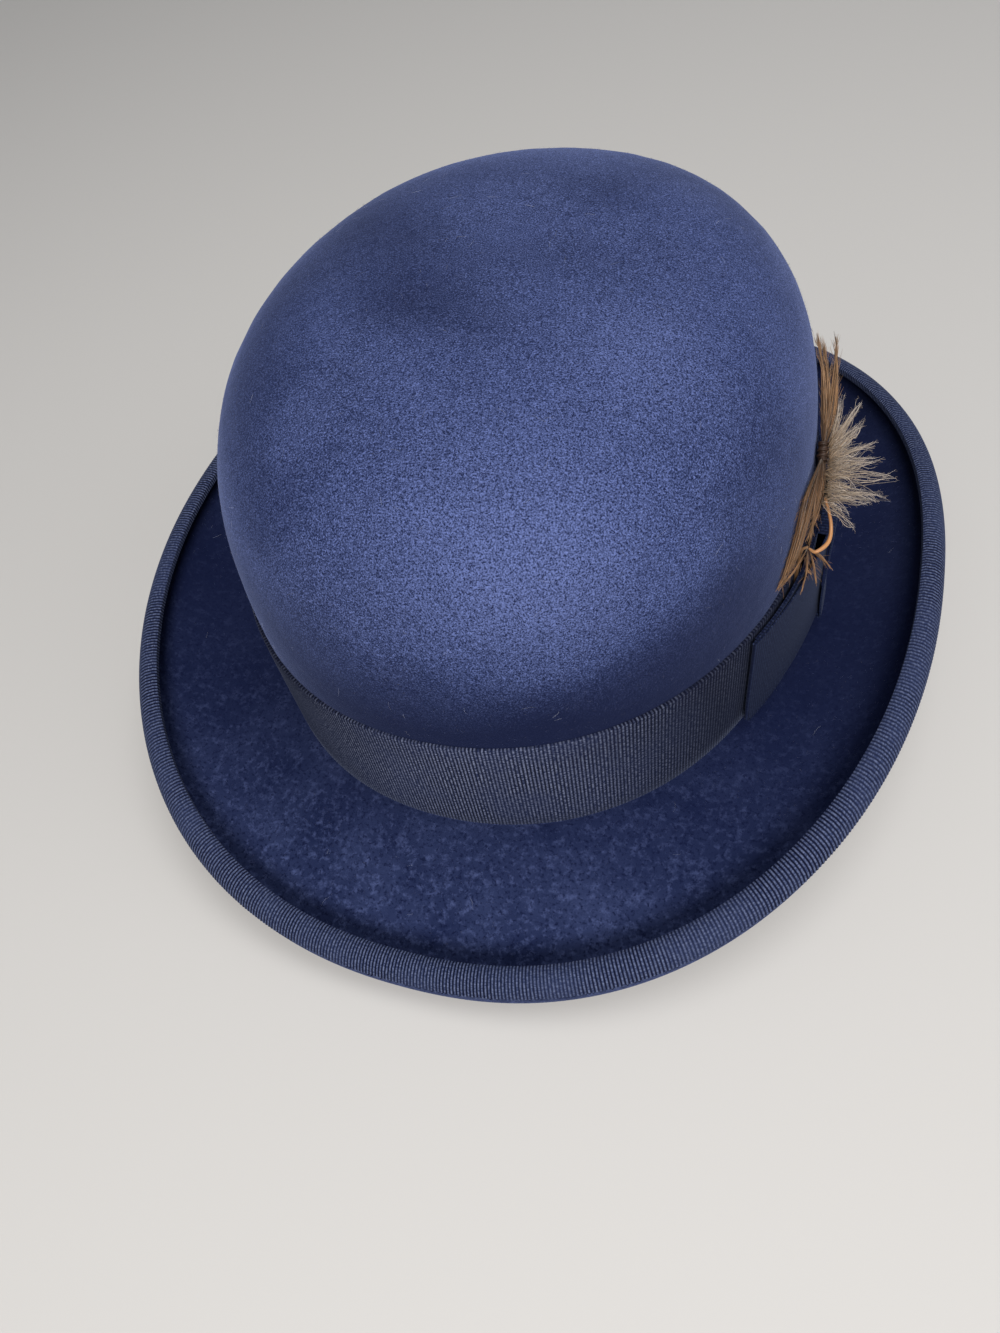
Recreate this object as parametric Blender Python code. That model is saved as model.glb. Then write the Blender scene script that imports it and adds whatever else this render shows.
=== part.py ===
"""Bowler hat: moulded wool felt, bound brim, ribbon band and bow, leather sweatband, lining, feather.

Metres, +Z up. The wearer's front is -Y and the wearer's left, where the bow sits, is +X.
The origin is at the centre of the footprint, on the surface that the hat stands on.
The felt is one shell: its outer skin runs from the crown's top down the wall, across the
brim's upper side and up into the curled lip, and every other layer is an offset of that skin.
"""

from math import cos, pi, radians, sin

import bmesh
import bpy
from mathutils import Matrix, Vector

MM = 0.001

# Crown: an oval that keeps its width high up and turns over into a full, rounded top.
CROWN_HALF_WIDTH = 88.3 * MM
CROWN_HALF_LENGTH = 103.4 * MM
CROWN_HEIGHT = 121.2 * MM
CROWN_OVAL = 2.09
CROWN_FULLNESS = 5.42
CROWN_ROUNDNESS = 3.14
FELT = 2.8 * MM
FILLET = 1.2 * MM
SHOULDER = 99.0 * MM
TURN_OVER = 0.83

# Brim: the rim is the lip's top edge, high at the sides and low at front and back.
RIM_HALF_WIDTH = 125.0 * MM
RIM_HALF_LENGTH = 147.0 * MM
RIM_OVAL = 2.27
RIM_HEIGHT_SIDE = 27.2 * MM
RIM_HEIGHT_FRONT = 0.3 * MM
LIP_REACH_FRONT = 6.2 * MM
LIP_REACH_SIDE = 5.6 * MM
LIP_RISE_FRONT = 7.8 * MM
LIP_RISE_SIDE = 7.2 * MM
LIP_START_FRONT = radians(-90)
LIP_START_SIDE = radians(-58)
LIP_END_FRONT = radians(100)
LIP_END_SIDE = radians(99)
BRIM_LEAVE_FRONT = radians(-12)
BRIM_LEAVE_SIDE = radians(3)
REST_FLAT = 0.9 * MM

# Layers: every layer keeps a hair's breadth from the one below it.
GAP = 0.3 * MM
RIBBON = 0.8 * MM
BINDING_RIBBON = 0.5 * MM
BAND_BOTTOM = 1.6 * MM
BAND_TOP = 43.8 * MM
BINDING_OUTSIDE_FRONT = 0.60
BINDING_OUTSIDE_SIDE = 0.46
BINDING_INSIDE_STEP = 5
BINDING_CORNER = 0.6
SATIN = 0.4 * MM
LEATHER = 1.0 * MM
SWEATBAND_BOTTOM = 2.6 * MM
SWEATBAND_TOP = 50.0 * MM
LINING_BOTTOM = 34.0 * MM
REED_RADIUS = 0.7 * MM
REED_TAPE = 0.4 * MM
REED_DEPTH = 4.7 * MM
REED_HEIGHT = 0.5 * MM

# Bow on the wearer's left: turns are measured from +X, negative towards the front.
BOW_FRONT = radians(-30)
BOW_BACK = radians(19)
KEEPER_FRONT = radians(-5.5)
KEEPER_BACK = radians(1.5)
BOW_TOP = 43.2 * MM
UNDER_BOTTOM = 2.4 * MM
BOW_RIBBON = 0.5 * MM
POCKET = 2.9 * MM
FLARE = 3.0 * MM
FLARE_CURVE = 6
BOW_LEVELS = (6.5 * MM, 12.0 * MM, 20.0 * MM)
LOOP_BULGE = 3.0 * MM
LOOP_FLAT = 0.4 * MM
LOOP_ABOVE_UNDER = 0.4 * MM
LOOP_TAPER = 2.2
LOOP_INSET = 0.05
KEEPER_TUCK = 1.1 * MM
SWEATBAND_BOW_HALF_SPAN = radians(5.2)
SWEATBAND_BOW_HEIGHT = 9.0 * MM
SWEATBAND_BOW_HALF_HEIGHT = 4.5 * MM
SWEATBAND_BOW_WAIST = 0.35
LINING_SEAM = 0.006
TAB_HALF_SPAN = radians(2.6)
TAB_BOTTOM = 53.0 * MM
TAB_TOP = 63.0 * MM

# Feather sprig: its stem stands in the pocket behind the bow and lifts straight out.
STEM_X = 87.87 * MM
STEM_Y = -26.0 * MM
STEM_BOTTOM = 22.0 * MM
STEM_TOP = 52.0 * MM
STEM_RADIUS = 0.5 * MM
TIE = Vector((89.4, -4.0, 69.5)) * MM
WRAP_RADIUS = 2.0 * MM
WRAP_HALF_LENGTH = 3.2 * MM
HACKLE_ROOT = 0.45 * MM
HACKLE_TIP = 0.25 * MM
HACKLE_BACK_BELLY = 1.6 * MM
HACKLE_FRONT_BELLY = 1.4 * MM
HACKLE_SPACING = 1.3 * MM
HACKLE_ALONG = Vector((-0.10, 0.84, 0.53)).normalized()
BACK_TIPS = ((-6.2, 29.5, 14.5), (-4.6, 26.5, 12.5), (-1.8, 30.2, 13.5))
FRONT_TIPS = ((-5.5, -31.4, -15.5), (0.7, -22.9, -19.0), (2.9, -25.9, -21.0))
BACK_SAG = Vector((2.6, 0.0, 0.0)) * MM
FRONT_SAG = Vector((1.6, 0.0, 1.2)) * MM
QUILL_ROOT = Vector((2.6, -13.5, -6.0)) * MM
QUILL_BEND = Vector((8.4, -19.0, -12.5)) * MM
QUILL_TIP = Vector((3.6, -25.0, -16.4)) * MM
QUILL_RADIUS = 0.5 * MM
QUILL_TIP_RADIUS = 0.3 * MM
PLUME_START = 5.0 * MM
PLUME_LENGTH = 15.5 * MM
PLUME_HALF_LENGTH = 13.5 * MM
PLUME_HALF_HEIGHT = 9.5 * MM
PLUME_DROOP = 2.5 * MM
PLUME_FORWARD = 1.0 * MM

AROUND = 40
TOP_STEPS = 7
WALL_STEPS = 7
WALL_SPREAD = 1.7
BRIM_STEPS = 5
LIP_STEPS = 9
STEP = 2 * pi / AROUND
NUDGE = 1e-4


def remove_everything():
    for item in list(bpy.data.objects):
        bpy.data.objects.remove(item)


def material(name, color, roughness, metallic=0.0):
    made = bpy.data.materials.new(name)
    made.use_nodes = True
    shader = made.node_tree.nodes["Principled BSDF"]
    shader.inputs["Base Color"].default_value = (*color, 1.0)
    shader.inputs["Roughness"].default_value = roughness
    shader.inputs["Metallic"].default_value = metallic
    return made


def blend(front, side, turn):
    """A value that goes from the hat's front and back to its sides."""
    weight = cos(turn) ** 2
    return front + (side - front) * weight


def oval(turn, exponent):
    reach = (abs(cos(turn)) ** exponent + abs(sin(turn)) ** exponent) ** (-1 / exponent)
    return reach * cos(turn), reach * sin(turn)


def crown_point(turn, reach, height):
    across, along = oval(turn, CROWN_OVAL)
    return Vector((CROWN_HALF_WIDTH * across * reach, CROWN_HALF_LENGTH * along * reach, height))


def crown_reach(height):
    return (1 - abs(height / CROWN_HEIGHT) ** CROWN_FULLNESS) ** (1 / CROWN_ROUNDNESS)


def crown_height(reach):
    return CROWN_HEIGHT * (1 - abs(reach) ** CROWN_ROUNDNESS) ** (1 / CROWN_FULLNESS)


def section(turn, out, height):
    """A point of the brim: out from the foot of the crown, towards the rim."""
    foot = crown_point(turn, 1.0, 0.0)
    across, along = oval(turn, RIM_OVAL)
    rim = Vector((RIM_HALF_WIDTH * across, RIM_HALF_LENGTH * along, 0.0))
    point = foot + (rim - foot).normalized() * out
    point.z = height
    return point


def rim_distance(turn):
    across, along = oval(turn, RIM_OVAL)
    rim = Vector((RIM_HALF_WIDTH * across, RIM_HALF_LENGTH * along, 0.0))
    return (rim - crown_point(turn, 1.0, 0.0)).length


def lip(turn, share):
    """The inside of the curled lip, from where the brim enters it (0) to its edge (1)."""
    reach = blend(LIP_REACH_FRONT, LIP_REACH_SIDE, turn)
    rise = blend(LIP_RISE_FRONT, LIP_RISE_SIDE, turn)
    start = blend(LIP_START_FRONT, LIP_START_SIDE, turn)
    end = blend(LIP_END_FRONT, LIP_END_SIDE, turn)
    wrapped = FELT + GAP + BINDING_RIBBON
    center_out = rim_distance(turn) - reach * cos(end)
    center_height = blend(RIM_HEIGHT_FRONT, RIM_HEIGHT_SIDE, turn) - rise * sin(end)
    angle = start + (end - start) * share
    out = center_out + (reach - wrapped) * cos(angle)
    height = center_height + (rise - wrapped) * sin(angle)
    return out, height


def brim(turn, share):
    """The brim's upper side, a Bezier curve from the fillet to the lip."""
    leave = blend(BRIM_LEAVE_FRONT, BRIM_LEAVE_SIDE, turn)
    end = Vector(lip(turn, 0.0))
    beyond = Vector(lip(turn, NUDGE))
    start = Vector((FILLET, 0.0))
    pull = (end - start).length / 3
    first = start + Vector((cos(leave), sin(leave))) * pull
    second = end - (beyond - end).normalized() * pull
    rest = 1 - share
    point = start * rest**3 + first * (3 * share * rest**2)
    return point + second * (3 * share**2 * rest) + end * share**3


def skin(station, turn):
    """A point of the felt's outer skin. A station is a zone's name and a place in it."""
    zone, place = station
    if zone == "top":
        return crown_point(turn, place, crown_height(place))
    if zone == "wall":
        return crown_point(turn, crown_reach(place), place)
    if zone == "fillet":
        return section(turn, FILLET * (1 - cos(place)), FILLET * (1 - sin(place)))
    out, height = brim(turn, place) if zone == "brim" else lip(turn, place)
    return section(turn, out, height)


def skin_normal(station, turn):
    """The skin's normal, out of the crown and up from the brim."""
    zone, place = station
    if zone == "top" and place == 0.0:
        return Vector((0.0, 0.0, 1.0))
    nudge = NUDGE * 0.1 if zone == "wall" else NUDGE
    onward = -1 if zone == "wall" else 1
    along = skin((zone, place + onward * nudge), turn) - skin((zone, place - onward * nudge), turn)
    around = skin(station, turn + NUDGE) - skin(station, turn - NUDGE)
    return along.cross(around).normalized()


def layer_point(station, turn, depth):
    """A point at a depth below the skin: into the felt when positive, out from it when negative."""
    return skin(station, turn) - skin_normal(station, turn) * depth


def turns_all_round():
    return [(index + 0.5) * STEP for index in range(AROUND)]


def ring_rows(stations, depth):
    return [[layer_point(station, turn, depth) for turn in turns_all_round()] for station in stations]


def crown_stations():
    """From the centre of the crown's top to the foot of its wall."""
    tops = [("top", TURN_OVER * index / TOP_STEPS) for index in range(TOP_STEPS + 1)]
    walls = []
    for index in range(WALL_STEPS):
        walls.append(("wall", SHOULDER * (1 - (index / WALL_STEPS) ** WALL_SPREAD)))
    return tops + walls + [("wall", FILLET)]


def brim_stations():
    """From the foot of the wall to the lip's edge."""
    bend = [("fillet", radians(45)), ("fillet", radians(90))]
    brims = [("brim", index / BRIM_STEPS) for index in range(1, BRIM_STEPS)]
    lips = [("lip", index / LIP_STEPS) for index in range(LIP_STEPS + 1)]
    return bend + brims + lips


def solid(name, front, back, color, roughness, wrap=True, pole=False, parent=None, origin=None):
    """A closed body between two grids of points that have the same rows and columns."""
    origin = origin or Vector((0.0, 0.0, 0.0))
    mesh = bpy.data.meshes.new(name)
    shape = bmesh.new()
    grids = []
    for rows in (front, back):
        grids.append([[shape.verts.new(point - origin) for point in row] for row in rows])
    row_count, column_count = len(front), len(front[0])
    columns = column_count if wrap else column_count - 1
    for side, grid in enumerate(grids):
        for row in range(row_count - 1):
            for column in range(columns):
                beside = (column + 1) % column_count
                corners = [grid[row][column], grid[row][beside]]
                corners += [grid[row + 1][beside], grid[row + 1][column]]
                shape.faces.new(corners if side else corners[::-1])
    ends = [row_count - 1] if pole else [0, row_count - 1]
    for row in ends:
        for column in range(columns):
            beside = (column + 1) % column_count
            shape.faces.new([grids[0][row][column], grids[0][row][beside],
                             grids[1][row][beside], grids[1][row][column]])
    if not wrap:
        for column in (0, column_count - 1):
            for row in range(row_count - 1):
                shape.faces.new([grids[0][row][column], grids[0][row + 1][column],
                                 grids[1][row + 1][column], grids[1][row][column]])
    bmesh.ops.remove_doubles(shape, verts=shape.verts, dist=1e-6)
    bmesh.ops.recalc_face_normals(shape, faces=shape.faces)
    shape.to_mesh(mesh)
    shape.free()
    return place(name, mesh, color, roughness, parent, origin)


def place(name, mesh, color, roughness, parent=None, origin=None):
    made = bpy.data.objects.new(name, mesh)
    bpy.context.collection.objects.link(made)
    mesh.materials.append(material(name, color, roughness))
    mesh.shade_smooth()
    mesh.set_sharp_from_angle(angle=radians(40))
    made.parent = parent
    if parent is None:
        made.location = origin or (0.0, 0.0, 0.0)
    return made


def swept(name, path, radii, color, roughness, sides=6, flat=1.0, closed=False, parent=None, origin=None):
    """A rod along a path, with a radius at each point; flat squeezes it sideways."""
    count = len(path)
    rows = []
    for index, point in enumerate(path):
        before = path[index - 1] if index or closed else point
        after = path[(index + 1) % count] if index + 1 < count or closed else point
        tangent = (after - before).normalized()
        side = tangent.cross(Vector((0.0, 0.0, 1.0))).normalized()
        rise = side.cross(tangent)
        row = []
        for corner in range(sides):
            angle = 2 * pi * (corner + 0.5) / sides
            across = side * (radii[index] * flat * cos(angle))
            row.append(point + across + rise * (radii[index] * sin(angle)))
        rows.append(row)
    return skinned(name, rows, closed, color, roughness, parent, origin)


def skinned(name, rows, closed, color, roughness, parent=None, origin=None):
    """A closed tube through rows of points, with flat ends unless it closes on itself."""
    origin = origin or Vector((0.0, 0.0, 0.0))
    mesh = bpy.data.meshes.new(name)
    shape = bmesh.new()
    grid = [[shape.verts.new(point - origin) for point in row] for row in rows]
    sides = len(rows[0])
    spans = len(rows) if closed else len(rows) - 1
    for row in range(spans):
        onward = grid[(row + 1) % len(rows)]
        for corner in range(sides):
            beside = (corner + 1) % sides
            shape.faces.new([grid[row][corner], grid[row][beside], onward[beside], onward[corner]])
    if not closed:
        shape.faces.new(grid[0])
        shape.faces.new(grid[-1])
    bmesh.ops.recalc_face_normals(shape, faces=shape.faces)
    shape.to_mesh(mesh)
    shape.free()
    return place(name, mesh, color, roughness, parent, origin)


NAVY_FELT = (0.030, 0.050, 0.165)
NAVY_RIBBON = (0.030, 0.040, 0.095)
SLATE_RIBBON = (0.060, 0.085, 0.190)
TAN_LEATHER = (0.190, 0.085, 0.035)
BLACK_RIBBON = (0.012, 0.012, 0.014)
SATIN_NAVY = (0.022, 0.032, 0.100)
PAPER = (0.780, 0.760, 0.700)
HACKLE_BROWN = (0.140, 0.070, 0.030)
PLUME_BEIGE = (0.420, 0.330, 0.240)
QUILL_ORANGE = (0.420, 0.180, 0.045)
THREAD_BROWN = (0.050, 0.026, 0.014)


def felt_body():
    """Crown and brim in one shell, pressed flat where the lip's lowest stretch rests."""
    stations = crown_stations() + brim_stations()
    outside = ring_rows(stations, 0.0)
    inside = ring_rows(stations, FELT)
    floor = min(point.z for row in inside for point in row) + REST_FLAT
    for row in inside:
        for point in row:
            point.z = max(point.z, floor)
    solid("felt_body", outside, inside, NAVY_FELT, 0.95, pole=True)
    return floor


def brim_binding():
    """Grosgrain folded over the lip's edge: one leg outside, one inside the curl."""
    inner_leg = [("lip", index / LIP_STEPS) for index in range(LIP_STEPS, BINDING_INSIDE_STEP - 1, -1)]
    near, far = GAP, GAP + BINDING_RIBBON
    rows_far = outer_leg_rows(far) + beyond_edge(far) + ring_rows(inner_leg, -far)
    rows_near = outer_leg_rows(near) + beyond_edge(near) + ring_rows(inner_leg, -near)
    solid("brim_binding", rows_far, rows_near, SLATE_RIBBON, 0.8)


def outer_leg_rows(distance, steps=4):
    """The leg outside the curl, which reaches further down at the sides than at the front."""
    rows = []
    for index in range(steps + 1):
        row = []
        for turn in turns_all_round():
            foot = blend(BINDING_OUTSIDE_FRONT, BINDING_OUTSIDE_SIDE, turn)
            share = foot + (1 - foot) * index / steps
            row.append(layer_point(("lip", share), turn, FELT + distance))
        rows.append(row)
    return rows


def beyond_edge(distance):
    """Two rows just past the felt's cut edge, at the two corners of the fold."""
    rows = []
    for depth in (FELT + distance * BINDING_CORNER, -distance * BINDING_CORNER):
        row = []
        for turn in turns_all_round():
            edge = layer_point(("lip", 1.0), turn, depth)
            onward = skin(("lip", 1.0), turn) - skin(("lip", 1.0 - NUDGE), turn)
            row.append(edge + onward.normalized() * distance)
        rows.append(row)
    return rows


def hat_band():
    heights = [BAND_BOTTOM, (BAND_BOTTOM + BAND_TOP) / 2, BAND_TOP]
    stations = [("wall", height) for height in heights]
    outside = ring_rows(stations, -GAP - RIBBON)
    inside = ring_rows(stations, -GAP)
    solid("hat_band", outside, inside, NAVY_RIBBON, 0.8)


def bow_point(turn, height, stand_off):
    return layer_point(("wall", height), turn, -stand_off)


def hump(turn, start, end):
    """0 at both ends and 1 in the middle."""
    share = min(max((turn - start) / (end - start), 0.0), 1.0)
    return sin(pi * share)


def under_stand_off(turn, height):
    """How far the bow's under layer stands off the crown: a pocket behind it, a flare at its foot."""
    spread = hump(turn, BOW_FRONT - radians(8), BOW_BACK + radians(10))
    foot = (1 - height / BOW_TOP) ** FLARE_CURVE
    band = GAP + RIBBON + GAP
    return band + (POCKET - band) * spread + FLARE * spread * foot


def bow_under_layer():
    """The flat layer that the loops are sewn to, cut a little longer than they are."""
    first, last = BOW_FRONT + radians(1), BOW_BACK - radians(1)
    span = [first + (last - first) * index / 10 for index in range(11)]
    heights = [UNDER_BOTTOM, *BOW_LEVELS, BOW_TOP]
    rows = []
    for lift in (BOW_RIBBON, 0.0):
        rows.append([[bow_point(turn, height, under_stand_off(turn, height) + lift) for turn in span]
                     for height in heights])
    solid("bow_under_layer", rows[0], rows[1], NAVY_RIBBON, 0.8, wrap=False)


def bow_loop(name, start, end, fold_at_start):
    """A flattened loop of ribbon: open at top and bottom, pressed flat at its fold, full at the waist."""
    count = 10
    heights = [*BOW_LEVELS, BOW_TOP + LOOP_ABOVE_UNDER]
    inset = (end - start) * LOOP_INSET
    outer_rows, inner_rows = [], []
    for height in heights:
        outer, inner = [], []
        for index in range(count + 1):
            share = index / count
            turn = start + (end - start) * share
            toward_fold = 1 - share if fold_at_start else share
            swell = LOOP_FLAT + LOOP_BULGE * (1 - toward_fold) ** LOOP_TAPER
            base = under_stand_off(turn, height) + BOW_RIBBON + GAP
            outer.append((turn, base, swell + 2 * BOW_RIBBON))
            inside = min(max(turn, start + inset), end - inset)
            inner.append((inside, base + BOW_RIBBON, swell))
        ring_out = [bow_point(turn, height, base) for turn, base, _ in outer]
        ring_out += [bow_point(turn, height, base + depth) for turn, base, depth in reversed(outer)]
        ring_in = [bow_point(turn, height, base) for turn, base, _ in inner]
        ring_in += [bow_point(turn, height, base + depth) for turn, base, depth in reversed(inner)]
        outer_rows.append(ring_out)
        inner_rows.append(ring_in)
    solid(name, outer_rows, inner_rows, NAVY_RIBBON, 0.8)


def bow_keeper():
    """The strap round the bow's waist: over the loops, and folded in over their top and foot."""
    turns = [KEEPER_FRONT + (KEEPER_BACK - KEEPER_FRONT) * index / 2 for index in range(3)]
    loop_face = 3 * BOW_RIBBON + 2 * GAP + LOOP_FLAT + LOOP_BULGE
    low, high = BOW_LEVELS[0] - GAP, BOW_TOP + LOOP_ABOVE_UNDER + GAP
    outer_rows, inner_rows = [], []
    middle = (low + high) / 2
    route = [(low, KEEPER_TUCK), (low, loop_face), (middle, loop_face)]
    route += [(high, loop_face), (high, KEEPER_TUCK)]
    thick = BOW_RIBBON
    grow = [(-thick, 0.0), (-thick, thick), (0.0, thick), (thick, thick), (thick, 0.0)]
    for (height, depth), (higher, deeper) in zip(route, grow):
        inner, outer = [], []
        for turn in turns:
            lift = under_stand_off(turn, height) + depth
            inner.append(bow_point(turn, height, lift))
            outer.append(bow_point(turn, height + higher, lift + deeper))
        inner_rows.append(inner)
        outer_rows.append(outer)
    solid("bow_keeper", outer_rows, inner_rows, NAVY_RIBBON, 0.8, wrap=False)


def sweatband():
    height = SWEATBAND_TOP - SWEATBAND_BOTTOM
    stations = [("wall", SWEATBAND_BOTTOM + height * index / 3) for index in range(4)]
    depth = FELT + GAP + SATIN + GAP
    face, back = ring_rows(stations, depth + LEATHER), ring_rows(stations, depth)
    solid("sweatband", face, back, TAN_LEATHER, 0.5)


def reed_and_tape():
    """A springy reed at the sweatband's foot, in a tape that is open at its top."""
    centre = [layer_point(("wall", FILLET), turn, REED_DEPTH) for turn in turns_all_round()]
    outward = [skin_normal(("wall", FILLET), turn) for turn in turns_all_round()]
    for point in centre:
        point.z = REED_HEIGHT
    up = Vector((0.0, 0.0, 1.0))

    def rounds(radius, angles):
        rows = []
        for point, side in zip(centre, outward):
            row = []
            for angle in angles:
                row.append(point + side * (radius * cos(angle)) + up * (radius * sin(angle)))
            rows.append(row)
        return rows

    hexagon = [radians(30 + 60 * index) for index in range(6)]
    skinned("sweatband_reed", rounds(REED_RADIUS, hexagon), True, BLACK_RIBBON, 0.4)
    wrap_angles = [radians(120 + 300 * index / 6) for index in range(7)]
    outer = rounds(REED_RADIUS + GAP + REED_TAPE, wrap_angles)
    inner = rounds(REED_RADIUS + GAP, wrap_angles)
    loops = [out + into[::-1] for out, into in zip(outer, inner)]
    skinned("reed_tape", loops, True, BLACK_RIBBON, 0.7)


def sweatband_bow():
    """A small flat ribbon bow sewn to the sweatband over its back seam."""
    back = radians(90)
    face = FELT + GAP + SATIN + GAP + LEATHER + 2 * GAP
    rows = []
    for depth in (face + RIBBON, face):
        grid = []
        for height_share in (-1.0, 0.0, 1.0):
            row = []
            for index in range(5):
                side = (index - 2) / 2
                wide = SWEATBAND_BOW_WAIST + (1 - SWEATBAND_BOW_WAIST) * abs(side)
                height = SWEATBAND_BOW_HEIGHT + height_share * SWEATBAND_BOW_HALF_HEIGHT * wide
                row.append(layer_point(("wall", height), back + SWEATBAND_BOW_HALF_SPAN * side, depth))
            grid.append(row)
        rows.append(grid)
    solid("sweatband_bow", rows[0], rows[1], BLACK_RIBBON, 0.6, wrap=False)


def lining():
    """Satin: an oval tip under the crown's top, and a side that runs down behind the sweatband."""
    stations = crown_stations()
    seam = TOP_STEPS - 1
    depth = FELT + GAP
    tip = stations[: seam + 1]
    tip_rows = ring_rows(tip, depth), ring_rows(tip, depth + SATIN)
    solid("lining_tip", *tip_rows, SATIN_NAVY, 0.35, pole=True)
    below = [("top", stations[seam][1] + LINING_SEAM)] + stations[seam + 1:]
    side = [station for station in below if station[0] == "top" or station[1] > LINING_BOTTOM]
    side.append(("wall", LINING_BOTTOM))
    solid("lining_side", ring_rows(side, depth), ring_rows(side, depth + SATIN), SATIN_NAVY, 0.35)


def size_tab():
    """A blank paper tab on the lining, above the sweatband at the back."""
    face = FELT + GAP + SATIN + 3 * GAP
    rows = []
    for depth in (face + GAP, face):
        grid = []
        for height in (TAB_BOTTOM, (TAB_BOTTOM + TAB_TOP) / 2, TAB_TOP):
            turns = [radians(90) + TAB_HALF_SPAN * side for side in (-1, 0, 1)]
            grid.append([layer_point(("wall", height), turn, depth) for turn in turns])
        rows.append(grid)
    solid("size_tab", rows[0], rows[1], PAPER, 0.8, wrap=False)


def curve_points(start, middle, end, count=6):
    """Points of a quadratic curve."""
    points = []
    for index in range(count + 1):
        share = index / count
        points.append(start * (1 - share) ** 2 + middle * (2 * share * (1 - share)) + end * share**2)
    return points


def blade_radii(count, root, belly, tip):
    """Radii that swell from the root and taper to the tip."""
    radii = []
    for index in range(count + 1):
        share = index / count
        radii.append(root + (tip - root) * share + (belly - root) * sin(pi * share))
    return radii


def feather_sprig(lift):
    """The sprig that lifts out of the bow's pocket; its parent stands on the slide's axis."""
    axis = Vector((STEM_X, STEM_Y, STEM_BOTTOM + lift))
    carrier = bpy.data.objects.new("feather_carrier", None)
    carrier.location = axis
    bpy.context.collection.objects.link(carrier)
    tie = TIE + Vector((0.0, 0.0, lift))
    own = {"parent": carrier, "origin": axis}

    reach = HACKLE_ALONG * WRAP_HALF_LENGTH
    wrap_ends = [tie - reach, tie, tie + reach]
    swept("feather_wrap", wrap_ends, [WRAP_RADIUS] * 3, THREAD_BROWN, 0.7, sides=8, **own)
    stem_top = Vector((STEM_X, STEM_Y, STEM_TOP + lift))
    stem_foot = Vector((STEM_X, STEM_Y + 0.01 * MM, STEM_BOTTOM + lift))
    swept("feather_stem", [stem_foot, stem_top], [STEM_RADIUS] * 2, HACKLE_BROWN, 0.6, sides=8, **own)

    clear = HACKLE_ALONG * (WRAP_HALF_LENGTH + 0.5 * MM)
    hackles("hackle_back", tie + clear, BACK_TIPS, BACK_SAG, HACKLE_BACK_BELLY, own)
    hackles("hackle_front", tie - clear, FRONT_TIPS, FRONT_SAG, HACKLE_FRONT_BELLY, own)
    feather_quill(tie, own)
    feather_plume(tie, own)


def hackles(name, middle_root, tips, sag, belly, own):
    """Three flat tapered bundles of strands that fan out from one side of the tie."""
    for number, tip_reach in enumerate(tips, 1):
        root = middle_root + Vector(((number - 2) * HACKLE_SPACING, 0.0, 0.0))
        tip = middle_root + Vector(tip_reach) * MM
        path = curve_points(root, root.lerp(tip, 0.5) + sag, tip)
        radii = blade_radii(6, HACKLE_ROOT, belly, HACKLE_TIP)
        swept(f"{name}_{number}", path, radii, HACKLE_BROWN, 0.6, flat=0.3, **own)


def feather_quill(tie, own):
    """The bare, curved shaft between the front strands and the down."""
    path = curve_points(tie + QUILL_ROOT, tie + QUILL_BEND, tie + QUILL_TIP)
    radii = blade_radii(6, QUILL_RADIUS, QUILL_RADIUS, QUILL_TIP_RADIUS)
    swept("feather_quill", path, radii, QUILL_ORANGE, 0.5, **own)


def feather_plume(tie, own):
    """The soft clump of down that stands out from the tie."""
    rows = []
    count = 6
    for index in range(count + 1):
        share = index / count
        swell = 0.12 + 0.88 * sin(pi * (share * 0.62 + 0.02))
        across = tie.x + PLUME_START + PLUME_LENGTH * share
        row = []
        for corner in range(12):
            angle = 2 * pi * corner / 12
            along = tie.y - PLUME_FORWARD + PLUME_HALF_LENGTH * swell * cos(angle)
            height = tie.z - PLUME_DROOP * share + PLUME_HALF_HEIGHT * swell * sin(angle)
            row.append(Vector((across, along, height)))
        rows.append(row)
    skinned("feather_plume", rows, False, PLUME_BEIGE, 0.9, **own)


def lift_onto_base(lift):
    """Stand every piece of the hat on the plane through the origin."""
    for item in bpy.data.objects:
        if item.parent is None and item.type == "MESH":
            item.data.transform(Matrix.Translation((0.0, 0.0, lift)))


def build():
    remove_everything()
    floor = felt_body()
    brim_binding()
    hat_band()
    bow_under_layer()
    waist = (KEEPER_FRONT + KEEPER_BACK) / 2
    bow_loop("bow_front_loop", BOW_FRONT, waist - radians(0.25), True)
    bow_loop("bow_back_loop", waist + radians(0.25), BOW_BACK, False)
    bow_keeper()
    sweatband()
    reed_and_tape()
    sweatband_bow()
    lining()
    size_tab()
    lift_onto_base(-floor)
    feather_sprig(-floor)


build()
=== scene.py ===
"""Bowler hat, looks: felt, grosgrain, bow, feather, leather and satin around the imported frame.

Metres, in the frame's own axes: +Z up, the wearer's front is -Y, the bow side is +X. Heights inside the
shape functions are counted from the foot of the crown, and LIFT puts them on the frame's floor.
"""

from math import cos, pi, radians, sin

import bmesh
import bpy
import numpy as np
from mathutils import Matrix, Vector


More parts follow.
